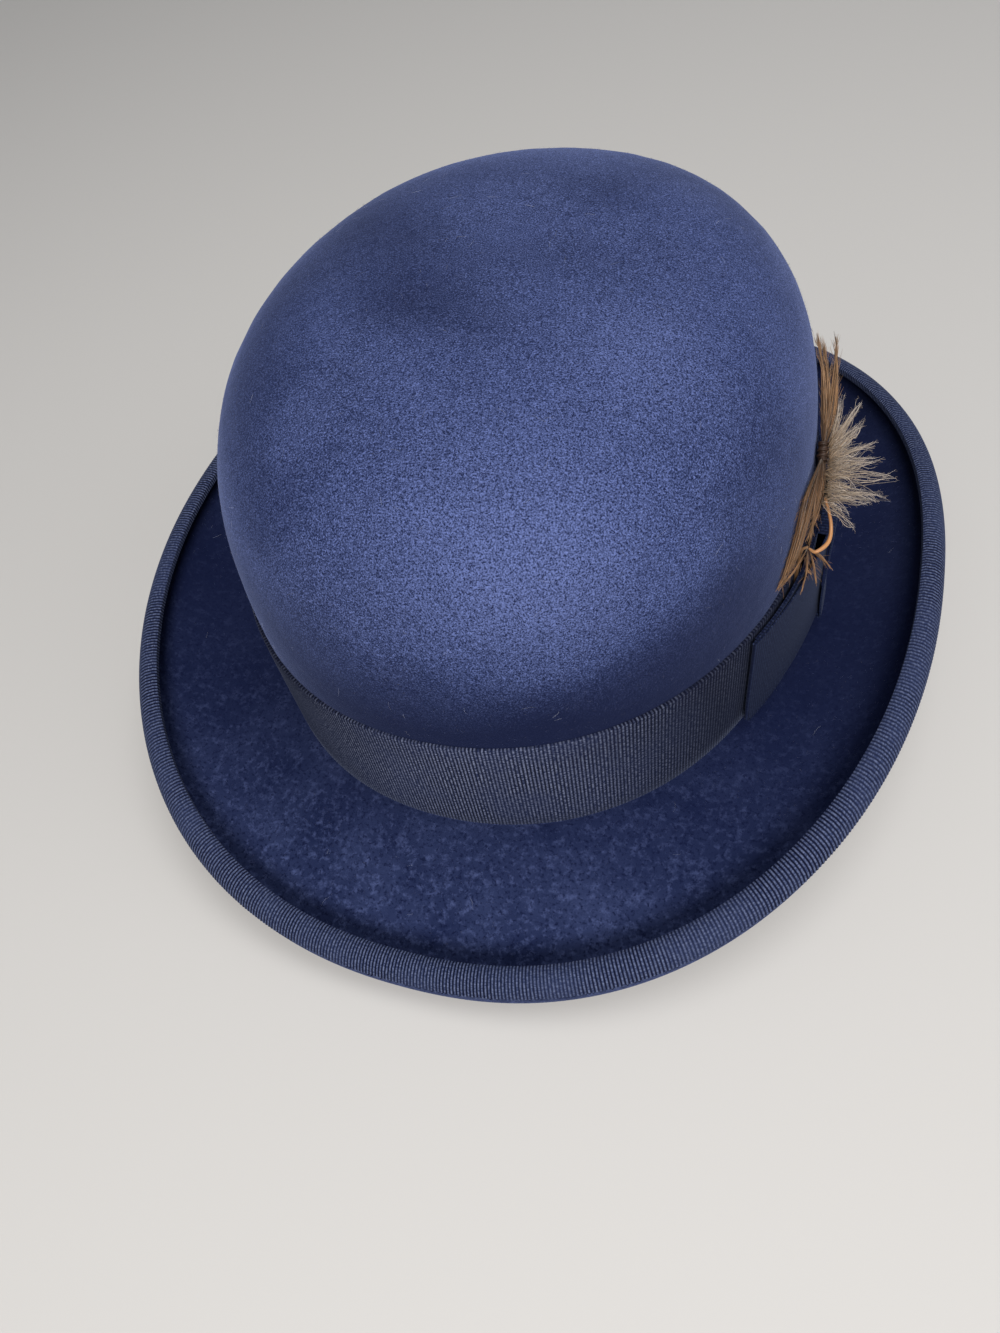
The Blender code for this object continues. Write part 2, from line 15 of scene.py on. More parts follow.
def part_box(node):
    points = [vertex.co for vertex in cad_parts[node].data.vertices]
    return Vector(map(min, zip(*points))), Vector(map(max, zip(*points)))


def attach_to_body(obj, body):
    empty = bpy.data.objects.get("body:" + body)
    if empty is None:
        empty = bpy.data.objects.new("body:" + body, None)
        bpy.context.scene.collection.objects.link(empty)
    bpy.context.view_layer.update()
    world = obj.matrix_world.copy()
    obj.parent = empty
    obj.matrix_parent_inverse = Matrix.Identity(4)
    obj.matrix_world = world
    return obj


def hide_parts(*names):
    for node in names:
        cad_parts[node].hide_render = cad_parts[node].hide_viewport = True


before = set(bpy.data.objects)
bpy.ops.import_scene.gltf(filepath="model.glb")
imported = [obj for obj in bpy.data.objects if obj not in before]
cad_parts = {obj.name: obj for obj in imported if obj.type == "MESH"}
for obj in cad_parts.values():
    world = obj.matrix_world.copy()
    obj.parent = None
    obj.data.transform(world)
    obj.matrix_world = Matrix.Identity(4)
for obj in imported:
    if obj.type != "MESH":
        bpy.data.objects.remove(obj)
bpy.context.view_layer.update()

MM = 0.001
RNG = np.random.default_rng(1907)

# The hat's own shape, as in the CAD model.
CROWN_HALF_WIDTH = 88.3 * MM
CROWN_HALF_LENGTH = 103.4 * MM
CROWN_HEIGHT = 121.2 * MM
CROWN_OVAL = 2.09
CROWN_FULLNESS = 5.42
CROWN_ROUNDNESS = 3.14
FELT = 2.8 * MM
FILLET = 1.2 * MM
SHOULDER = 99.0 * MM
TURN_OVER = 0.83
RIM_HALF_WIDTH = 125.0 * MM
RIM_HALF_LENGTH = 147.0 * MM
RIM_OVAL = 2.27
RIM_HEIGHT = (0.3 * MM, 27.2 * MM)
LIP_REACH = (6.2 * MM, 5.6 * MM)
LIP_RISE = (7.8 * MM, 7.2 * MM)
LIP_START = (radians(-90), radians(-58))
LIP_END = (radians(100), radians(99))
BRIM_LEAVE = (radians(-12), radians(3))
GAP = 0.3 * MM
RIBBON = 0.8 * MM
BINDING_RIBBON = 0.5 * MM
BAND_BOTTOM = 1.6 * MM
BAND_TOP = 43.8 * MM
SATIN = 0.4 * MM
LEATHER = 1.0 * MM
REED_RADIUS = 0.7 * MM
REED_DEPTH = 4.7 * MM
REED_HEIGHT = 0.5 * MM
TAPE = 0.4 * MM
RIB_PITCH = 1.1 * MM
RIB_DEPTH = 0.1 * MM
# Centre of the band's lit front; the band gets painted shade away from it.
LIT_FRONT = (15 * MM, -100 * MM, 22 * MM)
BINDING_OUTSIDE = (0.60, 0.46)
BINDING_INSIDE = 0.55
BOW_FRONT = radians(-30)
BOW_BACK = radians(19)
BOW_TOP = 43.2 * MM
KEEPER_FRONT = radians(-5.5)
KEEPER_BACK = radians(1.5)
LOOP_BOTTOM = 6.5 * MM
LOOP_TOP = 43.6 * MM
BOW_RIBBON = 0.5 * MM
UNDER_BOTTOM = 2.4 * MM
POCKET = 2.9 * MM
FLARE = 3.0 * MM
FLARE_CURVE = 6
LOOP_BULGE = 3.0 * MM
LOOP_FLAT = 0.4 * MM
LOOP_TAPER = 2.2
NUDGE = 1e-4

LIFT = float(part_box("felt_body")[1][2]) - CROWN_HEIGHT


# ---------------------------------------------------------------- shape of the felt


def blend(pair, turn):
    return pair[0] + (pair[1] - pair[0]) * np.cos(turn) ** 2


def oval(turn, exponent):
    reach = (np.abs(np.cos(turn)) ** exponent + np.abs(np.sin(turn)) ** exponent) ** (-1 / exponent)
    return reach * np.cos(turn), reach * np.sin(turn)


def stack(x, y, z):
    return np.stack(np.broadcast_arrays(x, y, z), axis=-1)


def unit(vectors, least=0.0):
    return vectors / (np.linalg.norm(vectors, axis=-1, keepdims=True) + least)


def crown_point(turn, reach, height):
    across, along = oval(turn, CROWN_OVAL)
    return stack(CROWN_HALF_WIDTH * across * reach, CROWN_HALF_LENGTH * along * reach, height)


def rim_point(turn):
    across, along = oval(turn, RIM_OVAL)
    return stack(RIM_HALF_WIDTH * across, RIM_HALF_LENGTH * along, 0.0 * turn)


def section(turn, out, height):
    """A point of the brim: out from the foot of the crown, towards the rim."""
    foot = crown_point(turn, 1.0, 0.0)
    ray = unit(rim_point(turn) - foot)
    point = foot + ray * np.asarray(out)[..., None]
    return stack(point[..., 0], point[..., 1], height)


def lip(turn, share):
    """Out and height of the inside of the curled lip, from its start (0) to its edge (1)."""
    reach, rise = blend(LIP_REACH, turn), blend(LIP_RISE, turn)
    start, end = blend(LIP_START, turn), blend(LIP_END, turn)
    wrapped = FELT + GAP + BINDING_RIBBON
    distance = np.linalg.norm(rim_point(turn) - crown_point(turn, 1.0, 0.0), axis=-1)
    angle = start + (end - start) * share
    out = distance - reach * np.cos(end) + (reach - wrapped) * np.cos(angle)
    height = blend(RIM_HEIGHT, turn) - rise * np.sin(end) + (rise - wrapped) * np.sin(angle)
    return out, height


def brim(turn, share):
    """Out and height of the brim's upper side, a Bezier curve from the fillet to the lip."""
    leave = blend(BRIM_LEAVE, turn)
    end = np.array(lip(turn, 0.0 * turn))
    beyond = np.array(lip(turn, 0.0 * turn + NUDGE))
    start = np.array([FILLET + 0.0 * turn, 0.0 * turn])
    pull = np.linalg.norm(end - start, axis=0) / 3
    first = start + np.array([np.cos(leave), np.sin(leave)]) * pull
    second = end - (beyond - end) / np.linalg.norm(beyond - end, axis=0) * pull
    rest = 1 - share
    return start * rest**3 + first * (3 * share * rest**2) + second * (3 * share**2 * rest) + end * share**3


def skin(zone, place, turn):
    """Points of the felt's outer skin. A zone's name and the places in it."""
    place, turn = np.broadcast_arrays(np.asarray(place, float), np.asarray(turn, float))
    if zone == "top":
        height = CROWN_HEIGHT * (1 - np.abs(place) ** CROWN_ROUNDNESS) ** (1 / CROWN_FULLNESS)
        return crown_point(turn, place, height)
    if zone == "wall":
        reach = (1 - np.abs(place / CROWN_HEIGHT) ** CROWN_FULLNESS) ** (1 / CROWN_ROUNDNESS)
        return crown_point(turn, reach, place)
    if zone == "fillet":
        return section(turn, FILLET * (1 - np.cos(place)), FILLET * (1 - np.sin(place)))
    out, height = brim(turn, place) if zone == "brim" else lip(turn, place)
    return section(turn, out, height)


def skin_normal(zone, place, turn):
    """The skin's normal, out of the crown and up from the brim."""
    place, turn = np.broadcast_arrays(np.asarray(place, float), np.asarray(turn, float))
    nudge = -NUDGE * 0.1 if zone == "wall" else NUDGE
    steady = np.maximum(place, 2 * NUDGE) if zone == "top" else place
    along = skin(zone, steady + nudge, turn) - skin(zone, steady - nudge, turn)
    around = skin(zone, steady, turn + NUDGE) - skin(zone, steady, turn - NUDGE)
    return unit(np.cross(along, around))


def layer(zone, place, turn, depth):
    """Points at a depth below the skin: into the felt when positive, out from it when negative."""
    point = skin(zone, place, turn) - skin_normal(zone, place, turn) * np.asarray(depth)[..., None]
    point[..., 2] += LIFT
    return point


def rows_of(stations, turns, depth):
    """One row of points for each (zone, place), all at one depth."""
    return np.concatenate([layer(zone, np.asarray(places, float)[:, None], turns[None, :], depth)
                           for zone, places in stations])


def ring(count):
    return np.arange(count) * 2 * pi / count


def ripple(points, wavelength, seed, waves=14):
    """A smooth, repeatable wobble between about -1 and 1."""
    rng = np.random.default_rng(seed)
    total = np.zeros(points.shape[:-1])
    for _ in range(waves):
        direction = rng.normal(size=3)
        direction *= 2 * pi / (wavelength * rng.uniform(0.7, 1.5)) / np.linalg.norm(direction)
        total += np.sin(points @ direction + rng.uniform(0, 2 * pi))
    return total / np.sqrt(waves)


# ---------------------------------------------------------------- meshes


def mesh_object(name, points, faces, finish, uv=None, sharp=40):
    mesh = bpy.data.meshes.new(name)
    mesh.from_pydata(points.reshape(-1, 3).tolist(), [], faces)
    mesh.validate()
    if uv is not None:
        flat = uv.reshape(-1, 2)
        places = mesh.uv_layers.new(name="UVMap")
        corners = np.empty(len(mesh.loops), dtype=np.int32)
        mesh.loops.foreach_get("vertex_index", corners)
        places.data.foreach_set("uv", flat[corners].ravel().astype(np.float32))
    mesh.materials.append(finish)
    mesh.shade_smooth()
    if sharp:
        mesh.set_sharp_from_angle(angle=radians(sharp))
    made = bpy.data.objects.new(name, mesh)
    bpy.context.scene.collection.objects.link(made)
    return made


def quads(first, rows, columns, wrap, flip=False):
    """Faces of a grid whose vertices start at first."""
    index = first + np.arange(rows * columns).reshape(rows, columns)
    beside = np.roll(index, -1, axis=1)
    if not wrap:
        index, beside = index[:, :-1], beside[:, :-1]
    corners = [index[:-1], index[1:], beside[1:], beside[:-1]]
    if flip:
        corners = corners[::-1]
    return np.stack(corners, axis=-1).reshape(-1, 4)


def between(first, second, closed):
    """Faces between two loops of vertices of the same length."""
    ahead, ahead_second = np.roll(first, -1), np.roll(second, -1)
    made = np.stack([first, ahead, ahead_second, second], axis=-1)
    return made if closed else made[:-1]


def slab(name, front, back, finish, wrap=True, pole=False, uv=None, sharp=40):
    """A closed body between two grids of points with the same rows and columns."""
    rows, columns = front.shape[:2]
    count = rows * columns
    faces = [quads(0, rows, columns, wrap), quads(count, rows, columns, wrap, flip=True)]
    index = np.arange(count).reshape(rows, columns)
    faces.append(between(index[-1], index[-1] + count, wrap))
    if not pole:
        faces.append(between(index[0] + count, index[0], wrap))
    if not wrap:
        faces.append(between(index[:, 0], index[:, 0] + count, False))
        faces.append(between(index[:, -1] + count, index[:, -1], False))
    points = np.concatenate([front.reshape(-1, 3), back.reshape(-1, 3)])
    if uv is not None:
        uv = np.concatenate([uv.reshape(-1, 2), uv.reshape(-1, 2)])
    made = mesh_object(name, points, np.concatenate(faces).tolist(), finish, uv, None)
    weld(made.data, 2e-6)
    made.data.shade_smooth()
    if sharp:
        made.data.set_sharp_from_angle(angle=radians(sharp))
    return made


def weld(mesh, distance):
    shape = bmesh.new()
    shape.from_mesh(mesh)
    bmesh.ops.remove_doubles(shape, verts=shape.verts, dist=distance)
    bmesh.ops.recalc_face_normals(shape, faces=shape.faces)
    shape.to_mesh(mesh)
    shape.free()


def strands(name, paths, radii, finish, sides=3, flat=1.0, shade=None, helper=None):
    """Many closed tapered strands in one mesh. paths is (strands, steps, 3), radii (strands, steps).

    flat thins each strand across its width, and shade gives each strand its place in a colour ramp.
    """
    count, steps = paths.shape[:2]
    along = unit(np.gradient(paths, axis=1), 1e-12)
    helper = RNG.normal(size=(count, 1, 3)) if helper is None else np.asarray(helper, float)[None, None]
    side = unit(np.cross(along, helper), 1e-12)
    rise = np.cross(side, along)
    angle = 2 * pi * np.arange(sides) / sides
    circle = (side[:, :, None, :] * np.cos(angle)[None, None, :, None]
              + rise[:, :, None, :] * (flat * np.sin(angle))[None, None, :, None])
    points = paths[:, :, None, :] + circle * radii[:, :, None, None]
    index = np.arange(count * steps * sides).reshape(count, steps, sides)
    beside = np.roll(index, -1, axis=2)
    walls = np.stack([index[:, :-1], beside[:, :-1], beside[:, 1:], index[:, 1:]], axis=-1).reshape(-1, 4)
    faces = walls.tolist() + index[:, 0, ::-1].tolist() + index[:, -1].tolist()
    uv = None
    if shade is not None:
        place = np.broadcast_to(np.linspace(0, 1, steps)[None, :, None], (count, steps, sides))
        uv = np.stack([np.broadcast_to(shade[:, None, None], place.shape), place], axis=-1)
    return mesh_object(name, points, faces, finish, uv, None)


def attach(made, slot, *replaced, body="hat"):
    """Fix a piece to its body and hide the CAD nodes it replaces. The slot argument is not used."""
    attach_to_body(made, body)
    if replaced:
        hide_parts(*replaced)


# ---------------------------------------------------------------- materials


def new_material(name, roughness=0.9, sheen=0.0, sheen_roughness=0.5, sheen_tint=(1, 1, 1), specular=0.5):
    made = bpy.data.materials.new(name)
    made.use_nodes = True
    shader = made.node_tree.nodes["Principled BSDF"]
    shader.inputs["Roughness"].default_value = roughness
    shader.inputs["Sheen Weight"].default_value = sheen
    shader.inputs["Sheen Roughness"].default_value = sheen_roughness
    shader.inputs["Sheen Tint"].default_value = (*sheen_tint, 1)
    shader.inputs["Specular IOR Level"].default_value = specular
    return made, made.node_tree, shader


def node(tree, kind, **values):
    made = tree.nodes.new(kind)
    for key, value in values.items():
        if hasattr(made, key):
            setattr(made, key, value)
        else:
            made.inputs[key.replace("_", " ")].default_value = value
    return made


def uv_parts(tree):
    """The texture coordinates' node, and the UV map split into its two numbers."""
    place = node(tree, "ShaderNodeTexCoord")
    parts = node(tree, "ShaderNodeSeparateXYZ")
    tree.links.new(place.outputs["UV"], parts.inputs["Vector"])
    return place, parts.outputs


def noise_node(tree, scale, detail=3.0, roughness=0.6):
    """Noise whose scale is counted in cells per metre."""
    place = node(tree, "ShaderNodeTexCoord")
    made = node(tree, "ShaderNodeTexNoise", Scale=scale, Detail=detail, Roughness=roughness)
    tree.links.new(place.outputs["Object"], made.inputs["Vector"])
    return made.outputs["Fac"]


def ramp(tree, source, stops):
    made = tree.nodes.new("ShaderNodeValToRGB")
    while len(made.color_ramp.elements) < len(stops):
        made.color_ramp.elements.new(0.5)
    for element, (place, color) in zip(made.color_ramp.elements, stops):
        element.position = place
        element.color = (*color, 1) if hasattr(color, "__len__") else (color, color, color, 1)
    tree.links.new(source, made.inputs["Fac"])
    return made.outputs["Color"]


def mix(tree, factor, first, second, kind="MIX"):
    made = tree.nodes.new("ShaderNodeMix")
    made.data_type = "RGBA"
    made.blend_type = kind
    for value, place in ((factor, 0), (first, 6), (second, 7)):
        if hasattr(value, "is_linked"):
            tree.links.new(value, made.inputs[place])
        elif place == 0:
            made.inputs[0].default_value = value
        else:
            made.inputs[place].default_value = (*value, 1)
    return made.outputs[2]


def bump(tree, shader, height, strength, distance, before=None):
    made = node(tree, "ShaderNodeBump", Strength=strength, Distance=distance)
    tree.links.new(height, made.inputs["Height"])
    if before:
        tree.links.new(before, made.inputs["Normal"])
    tree.links.new(made.outputs["Normal"], shader.inputs["Normal"])
    return made.outputs["Normal"]


def felt_material(name, base, light, dark):
    """Navy wool felt: brushed and speckled on the crown, smoother and deeper in colour on the brim.

    The UV map's u says how far a place is from the crown (0) to the brim (1), v how pale it is: brushed nap
    with painted highlight where v is high, painted shade where v is low.
    """
    made, tree, shader = new_material(name, 0.95, 0.22, 0.4, (0.40, 0.50, 0.95), 0.1)
    _, parts = uv_parts(tree)
    broad = noise_node(tree, 22, 3.0, 0.55)
    crown = ramp(tree, broad, [(0.34, [0.72 * c for c in base]), (0.66, [1.18 * c for c in base])])
    # Paler where v is high: brushed nap and painted highlight.
    crown = mix(tree, parts["Y"], crown, light)
    medium = noise_node(tree, 260, 3.0, 0.65)
    crown = mix(tree, ramp(tree, medium, [(0.42, 0.0), (0.72, 0.40)]), crown, light)
    fine = noise_node(tree, 2300, 2.0, 0.85)
    crown = mix(tree, ramp(tree, fine, [(0.38, 0.95), (0.53, 0.0)]), crown, dark)
    crown = mix(tree, ramp(tree, fine, [(0.54, 0.0), (0.68, 0.75)]), crown, [min(1, 1.8 * c) for c in light])
    # Painted shade where v is low, as just above the band.
    crown = mix(tree, ramp(tree, parts["Y"], [(0.04, 0.95), (0.31, 0.04)]), crown, dark)
    smooth = ramp(tree, noise_node(tree, 45, 4.0, 0.6), [(0.32, BRIM_DARK), (0.7, BRIM_LIGHT)])
    tufts = ramp(tree, noise_node(tree, 420, 4.0, 0.7), [(0.5, 0.0), (0.72, 0.75)])
    smooth = mix(tree, tufts, smooth, [0.8 * c for c in light])
    pores = ramp(tree, noise_node(tree, 900, 2.0, 0.7), [(0.32, 0.85), (0.48, 0.0)])
    smooth = mix(tree, pores, smooth, dark)
    # Painted shade on the brim away from its front.
    smooth = mix(tree, ramp(tree, parts["Y"], [(0.05, 0.85), (0.7, 0.0)]), smooth, dark)
    body = mix(tree, parts["X"], crown, smooth)
    tree.links.new(body, shader.inputs["Base Color"])
    normal = bump(tree, shader, fine, 0.7, 0.16 * MM)
    bump(tree, shader, medium, 0.35, 0.35 * MM, normal)
    return made


def ribbon_material(name, base, light, dark, speckle, contrast=0.9, dark_aside=0.0):
    """Grosgrain over real ribs: u counts ribs and v is metres across the ribbon.

    Each rib's crest carries a painted highlight and the groove beside it painted shade, and flecks of paler
    weft thread show on the crests. dark_aside is how much painted shade deepens the colour away from the lit
    front.
    """
    made, tree, shader = new_material(name, 0.85, 0.07, 0.4, (0.5, 0.6, 0.95), 0.12)
    place, parts = uv_parts(tree)
    turn = node(tree, "ShaderNodeMath", operation="MULTIPLY")
    tree.links.new(parts["X"], turn.inputs[0])
    turn.inputs[1].default_value = 2 * pi
    wave = node(tree, "ShaderNodeMath", operation="COSINE")
    tree.links.new(turn.outputs[0], wave.inputs[0])
    crest = node(tree, "ShaderNodeMath", operation="MULTIPLY_ADD")
    tree.links.new(wave.outputs[0], crest.inputs[0])
    crest.inputs[1].default_value = 0.5
    crest.inputs[2].default_value = 0.5
    broad = noise_node(tree, 45, 3.0, 0.55)
    worn = ramp(tree, broad, [(0.36, 0.55 * contrast), (0.6, contrast)])
    mapping = node(tree, "ShaderNodeMapping")
    mapping.inputs["Scale"].default_value = (0.9, 1700, 1)
    tree.links.new(place.outputs["UV"], mapping.inputs["Vector"])
    threads = node(tree, "ShaderNodeTexNoise", Scale=1.0, Detail=2.0, Roughness=0.75)
    tree.links.new(mapping.outputs["Vector"], threads.inputs["Vector"])
    lit = mix(tree, ramp(tree, threads.outputs["Fac"], [(0.40, 0.0), (0.62, speckle)]), base, light)
    # Painted highlight on each rib's crest, painted shade in the groove.
    rib_light_and_shade = mix(tree, ramp(tree, crest.outputs[0], [(0.22, 0.0), (0.9, 1.0)]), dark, lit)
    flat = mix(tree, ramp(tree, threads.outputs["Fac"], [(0.5, 0.0), (0.75, 0.5)]), base, light)
    body = mix(tree, worn, flat, rib_light_and_shade)
    # Painted shade: the ribbon darkens away from the lit front.
    away = node(tree, "ShaderNodeVectorMath", operation="DISTANCE")
    tree.links.new(place.outputs["Object"], away.inputs[0])
    away.inputs[1].default_value = LIT_FRONT
    aside = node(tree, "ShaderNodeMapRange")
    tree.links.new(away.outputs["Value"], aside.inputs["Value"])
    aside.inputs["From Min"].default_value = 30 * MM
    aside.inputs["From Max"].default_value = 70 * MM
    aside.inputs["To Max"].default_value = dark_aside
    body = mix(tree, aside.outputs[0], body, dark)
    tree.links.new(body, shader.inputs["Base Color"])
    bump(tree, shader, threads.outputs["Fac"], 0.6, 0.08 * MM)
    return made


def plain_material(name, base, light, roughness, scale, bump_depth, **extra):
    made, tree, shader = new_material(name, roughness, **extra)
    grain = noise_node(tree, scale, 3.0, 0.6)
    tree.links.new(ramp(tree, grain, [(0.3, base), (0.7, light)]), shader.inputs["Base Color"])
    bump(tree, shader, grain, 0.4, bump_depth)
    return made


def leather_material(name):
    """Smooth brown sweatband leather: fine pebble grain, creases and a patchy brown tone."""
    made, tree, shader = new_material(name, 0.45, specular=0.4)
    broad = noise_node(tree, 40, 3.0, 0.6)
    body = ramp(tree, broad, [(0.3, (0.13, 0.055, 0.022)), (0.7, (0.24, 0.115, 0.05))])
    tree.links.new(body, shader.inputs["Base Color"])
    grain = node(tree, "ShaderNodeTexVoronoi", Scale=1600.0)
    place = node(tree, "ShaderNodeTexCoord")
    tree.links.new(place.outputs["Object"], grain.inputs["Vector"])
    tree.links.new(ramp(tree, noise_node(tree, 90), [(0.3, 0.36), (0.7, 0.55)]), shader.inputs["Roughness"])
    normal = bump(tree, shader, grain.outputs["Distance"], 0.25, 0.08 * MM)
    bump(tree, shader, noise_node(tree, 120, 4.0), 0.3, 0.3 * MM, normal)
    return made


def strand_material(name, root, middle, tip, roughness=0.55):
    """Feather strands: the colour runs from root to tip and varies from strand to strand."""
    made, tree, shader = new_material(name, roughness, 0.15, 0.4, (1, 0.9, 0.8), 0.35)
    _, parts = uv_parts(tree)
    body = ramp(tree, parts["Y"], [(0.0, root), (0.5, middle), (1.0, tip)])
    vary = ramp(tree, parts["X"], [(0.0, 0.5), (0.5, 1.0), (1.0, 1.5)])
    tree.links.new(mix(tree, 1.0, body, vary, "MULTIPLY"), shader.inputs["Base Color"])
    return made


NAVY = {"base": (0.019, 0.031, 0.098), "light": (0.085, 0.112, 0.260), "dark": (0.003, 0.006, 0.030)}
BRIM_DARK = (0.009, 0.015, 0.052)
BRIM_LIGHT = (0.026, 0.037, 0.098)
BAND = {"base": (0.016, 0.024, 0.070), "light": (0.235, 0.265, 0.390), "dark": (0.001, 0.002, 0.010)}
# The bow's grosgrain is coloured far darker than the band's: painted shade where the bow faces away from the
# light.
BOW_SHADED = {"base": (0.004, 0.008, 0.032), "light": (0.050, 0.068, 0.140), "dark": (0.001, 0.002, 0.011)}
SLATE = {"base": (0.026, 0.037, 0.092), "light": (0.150, 0.180, 0.300), "dark": (0.001, 0.003, 0.016)}

# Where the crown is pale, partly from brushed nap and partly a painted highlight where the light falls, and
# painted shade where the strength is negative: centre x, y, z and radius in mm, then the strength.
NAP_WEAR_AND_PAINTED_LIGHT = ((45.5, -24.7, 117.0, 19.0, 0.42), (36.9, -83.8, 95.5, 24.0, 0.55), (17.0, -87.0, 101.0, 30.0, 0.30),
          (22.0, -58.0, 116.0, 30.0, 0.20), (-60.0, 15.0, 98.0, 45.0, -0.10), (5.0, 25.0, 120.0, 45.0, 0.10),
          (-33.0, -60.0, 113.0, 9.0, 0.18), (-7.0, -95.0, 92.0, 30.0, 0.10))
# The crown's colour carries painted shade for this height above the band.
SHADED_ABOVE_BAND = 42.0 * MM
BRIM_ROWS = 61


# ---------------------------------------------------------------- felt body and nap


def felt_stations():
    return [("top", TURN_OVER * np.linspace(0, 1, 34)),
            ("wall", SHOULDER * (1 - np.linspace(0, 1, 40)[:-1] ** 1.5)),
            ("wall", [FILLET]), ("fillet", radians(90) * np.linspace(0.2, 1, 5)),
            ("brim", np.linspace(0, 1, 26)[1:]), ("lip", np.linspace(0, 1, 34)[1:])]


def felt_uv(front):
    """u: 0 on the crown and 1 on the brim. v on the crown: how pale it is, from brushed nap and painted
    highlight, with painted shade above the band; on the brim, how far to the front, which leaves painted
    shade at the sides and back.
    """
    level = front[..., 2] - LIFT
    rows = len(front)
    on_brim = (np.arange(rows) >= rows - BRIM_ROWS)[:, None] * np.ones(front.shape[1])
    wear_and_painted_light = 0.24 + 0 * level
    for x, y, z, radius, strength in NAP_WEAR_AND_PAINTED_LIGHT:
        gap = np.linalg.norm(front - np.array([x * MM, y * MM, z * MM + LIFT]), axis=-1)
        wear_and_painted_light += strength * np.exp(-(gap / (radius * MM)) ** 2)
    wear_and_painted_light += 0.05 * ripple(front, 34 * MM, 8)
    # Painted shade: the crown darkens towards the band.
    shaded = np.clip(1 - (level - BAND_TOP) / SHADED_ABOVE_BAND, 0, 1)
    wear_and_painted_light *= 1 - 0.95 * shaded**0.8
    # On the brim, v is highest at the front; the material paints shade where it is low, at the sides and
    # back.
    painted_light_to_front = np.clip(-front[..., 1] / RIM_HALF_LENGTH, 0, 1) ** 2
    wear_and_painted_light = np.where(on_brim > 0.5, painted_light_to_front, wear_and_painted_light)
    return np.stack([on_brim, np.clip(wear_and_painted_light, 0, 1)], axis=-1)


def felt_body():
    turns = ring(340)
    front = rows_of(felt_stations(), turns, 0.0)
    back = rows_of(felt_stations(), turns, FELT)
    push = ripple(front, 60 * MM, 3) * 0.16 * MM + ripple(front, 9 * MM, 4) * 0.035 * MM
    rows = len(front)
    keep = np.clip((rows - np.arange(rows) - 8) / 20, 0, 1)[:, None, None]
    normal = unit(front - back)
    front = front + normal * push[..., None] * keep
    floor = float(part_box("felt_body")[0][2])
    back[..., 2] = np.maximum(back[..., 2], floor + 0.02 * MM)
    finish = felt_material("navy_felt", **NAVY)
    made = slab("felt_shell", front, back, finish, pole=True, uv=felt_uv(front), sharp=None)
    attach(made, "wool_felt", "felt_body")
    return made


def nap(name, count, zones, length, lean, radius, finish, seed):
    """Short loose fibres that stand on the felt and soften its outline."""
    rng = np.random.default_rng(seed)
    turn = rng.uniform(0, 2 * pi, count)
    points, normals = [], []
    for zone, low, high, share in zones:
        chosen = slice(int(count * share[0]), int(count * share[1]))
        place = rng.uniform(low, high, count)[chosen]
        if zone == "top":
            place = high * np.sqrt(rng.uniform(0.0004, 1, count)[chosen])
        points.append(layer(zone, place, turn[chosen], 0.05 * MM))
        normals.append(skin_normal(zone, place, turn[chosen]))
    points, normals = np.concatenate(points), np.concatenate(normals)
    count = len(points)
    tangent = unit(np.cross(normals, rng.normal(size=(count, 3))))
    curl = np.cross(normals, tangent) * rng.uniform(-0.7, 0.7, (count, 1))
    reach = length * rng.uniform(0.4, 1.3, (count, 1, 1))
    step = np.linspace(0, 1, 4)[None, :, None]
    rise = np.sin(step * pi * 0.62) * rng.uniform(lean[0], lean[1], (count, 1, 1))
    paths = points[:, None] + reach * (tangent[:, None] * step + curl[:, None] * step**2
                                       + normals[:, None] * rise)
    radii = radius * (1 - 0.7 * np.linspace(0, 1, 4))[None, :] * rng.uniform(0.7, 1.3, (count, 1))
    made = strands(name, paths, radii, finish, shade=rng.uniform(0, 1, count))
    attach(made, "wool_felt")
    return made


def all_nap():
    fuzz = strand_material("nap_fibre", (0.024, 0.038, 0.105), (0.050, 0.068, 0.165),
                           (0.085, 0.110, 0.225), 0.8)
    wool = [("top", 0.0, 0.83, (0.0, 0.42)), ("wall", BAND_TOP + 0.5 * MM, SHOULDER, (0.42, 1.0))]
    nap("nap_crown", 9500, wool, 0.9 * MM, (0.15, 0.5), 0.022 * MM, fuzz, 11)
    under = [("brim", 0.05, 1.0, (0.0, 1.0))]
    nap("nap_brim", 5000, under, 0.8 * MM, (0.1, 0.3), 0.02 * MM, fuzz, 12)
    lint = strand_material("lint", (0.20, 0.24, 0.36), (0.32, 0.34, 0.44), (0.36, 0.38, 0.46), 0.8)
    both = [("top", 0.0, 0.83, (0.0, 0.4)), ("wall", BAND_TOP, SHOULDER, (0.4, 0.86)),
            ("brim", 0.1, 0.9, (0.86, 1.0))]
    nap("lint_fibres", 260, both, 3.2 * MM, (0.02, 0.12), 0.026 * MM, lint, 13)


# ---------------------------------------------------------------- ribbons


def ribs(turns, count, depth):
    """How much each column of a ribbon stands out, one round cord for each rib."""
    return depth * (np.abs(np.cos(turns * count / 2)) ** 0.7 - 0.5)


def arc_length(points):
    steps = np.linalg.norm(np.diff(points, axis=0), axis=-1)
    return np.concatenate([[0.0], np.cumsum(steps)])


def rib_uv(count, front):
    """u counts the ribs round a ring and v runs across it in metres."""
    columns = front.shape[1]
    around = np.arange(columns) * count / columns
    return stack(around[None, :], arc_length(front[:, 0])[:, None], 0.0)[..., :2]


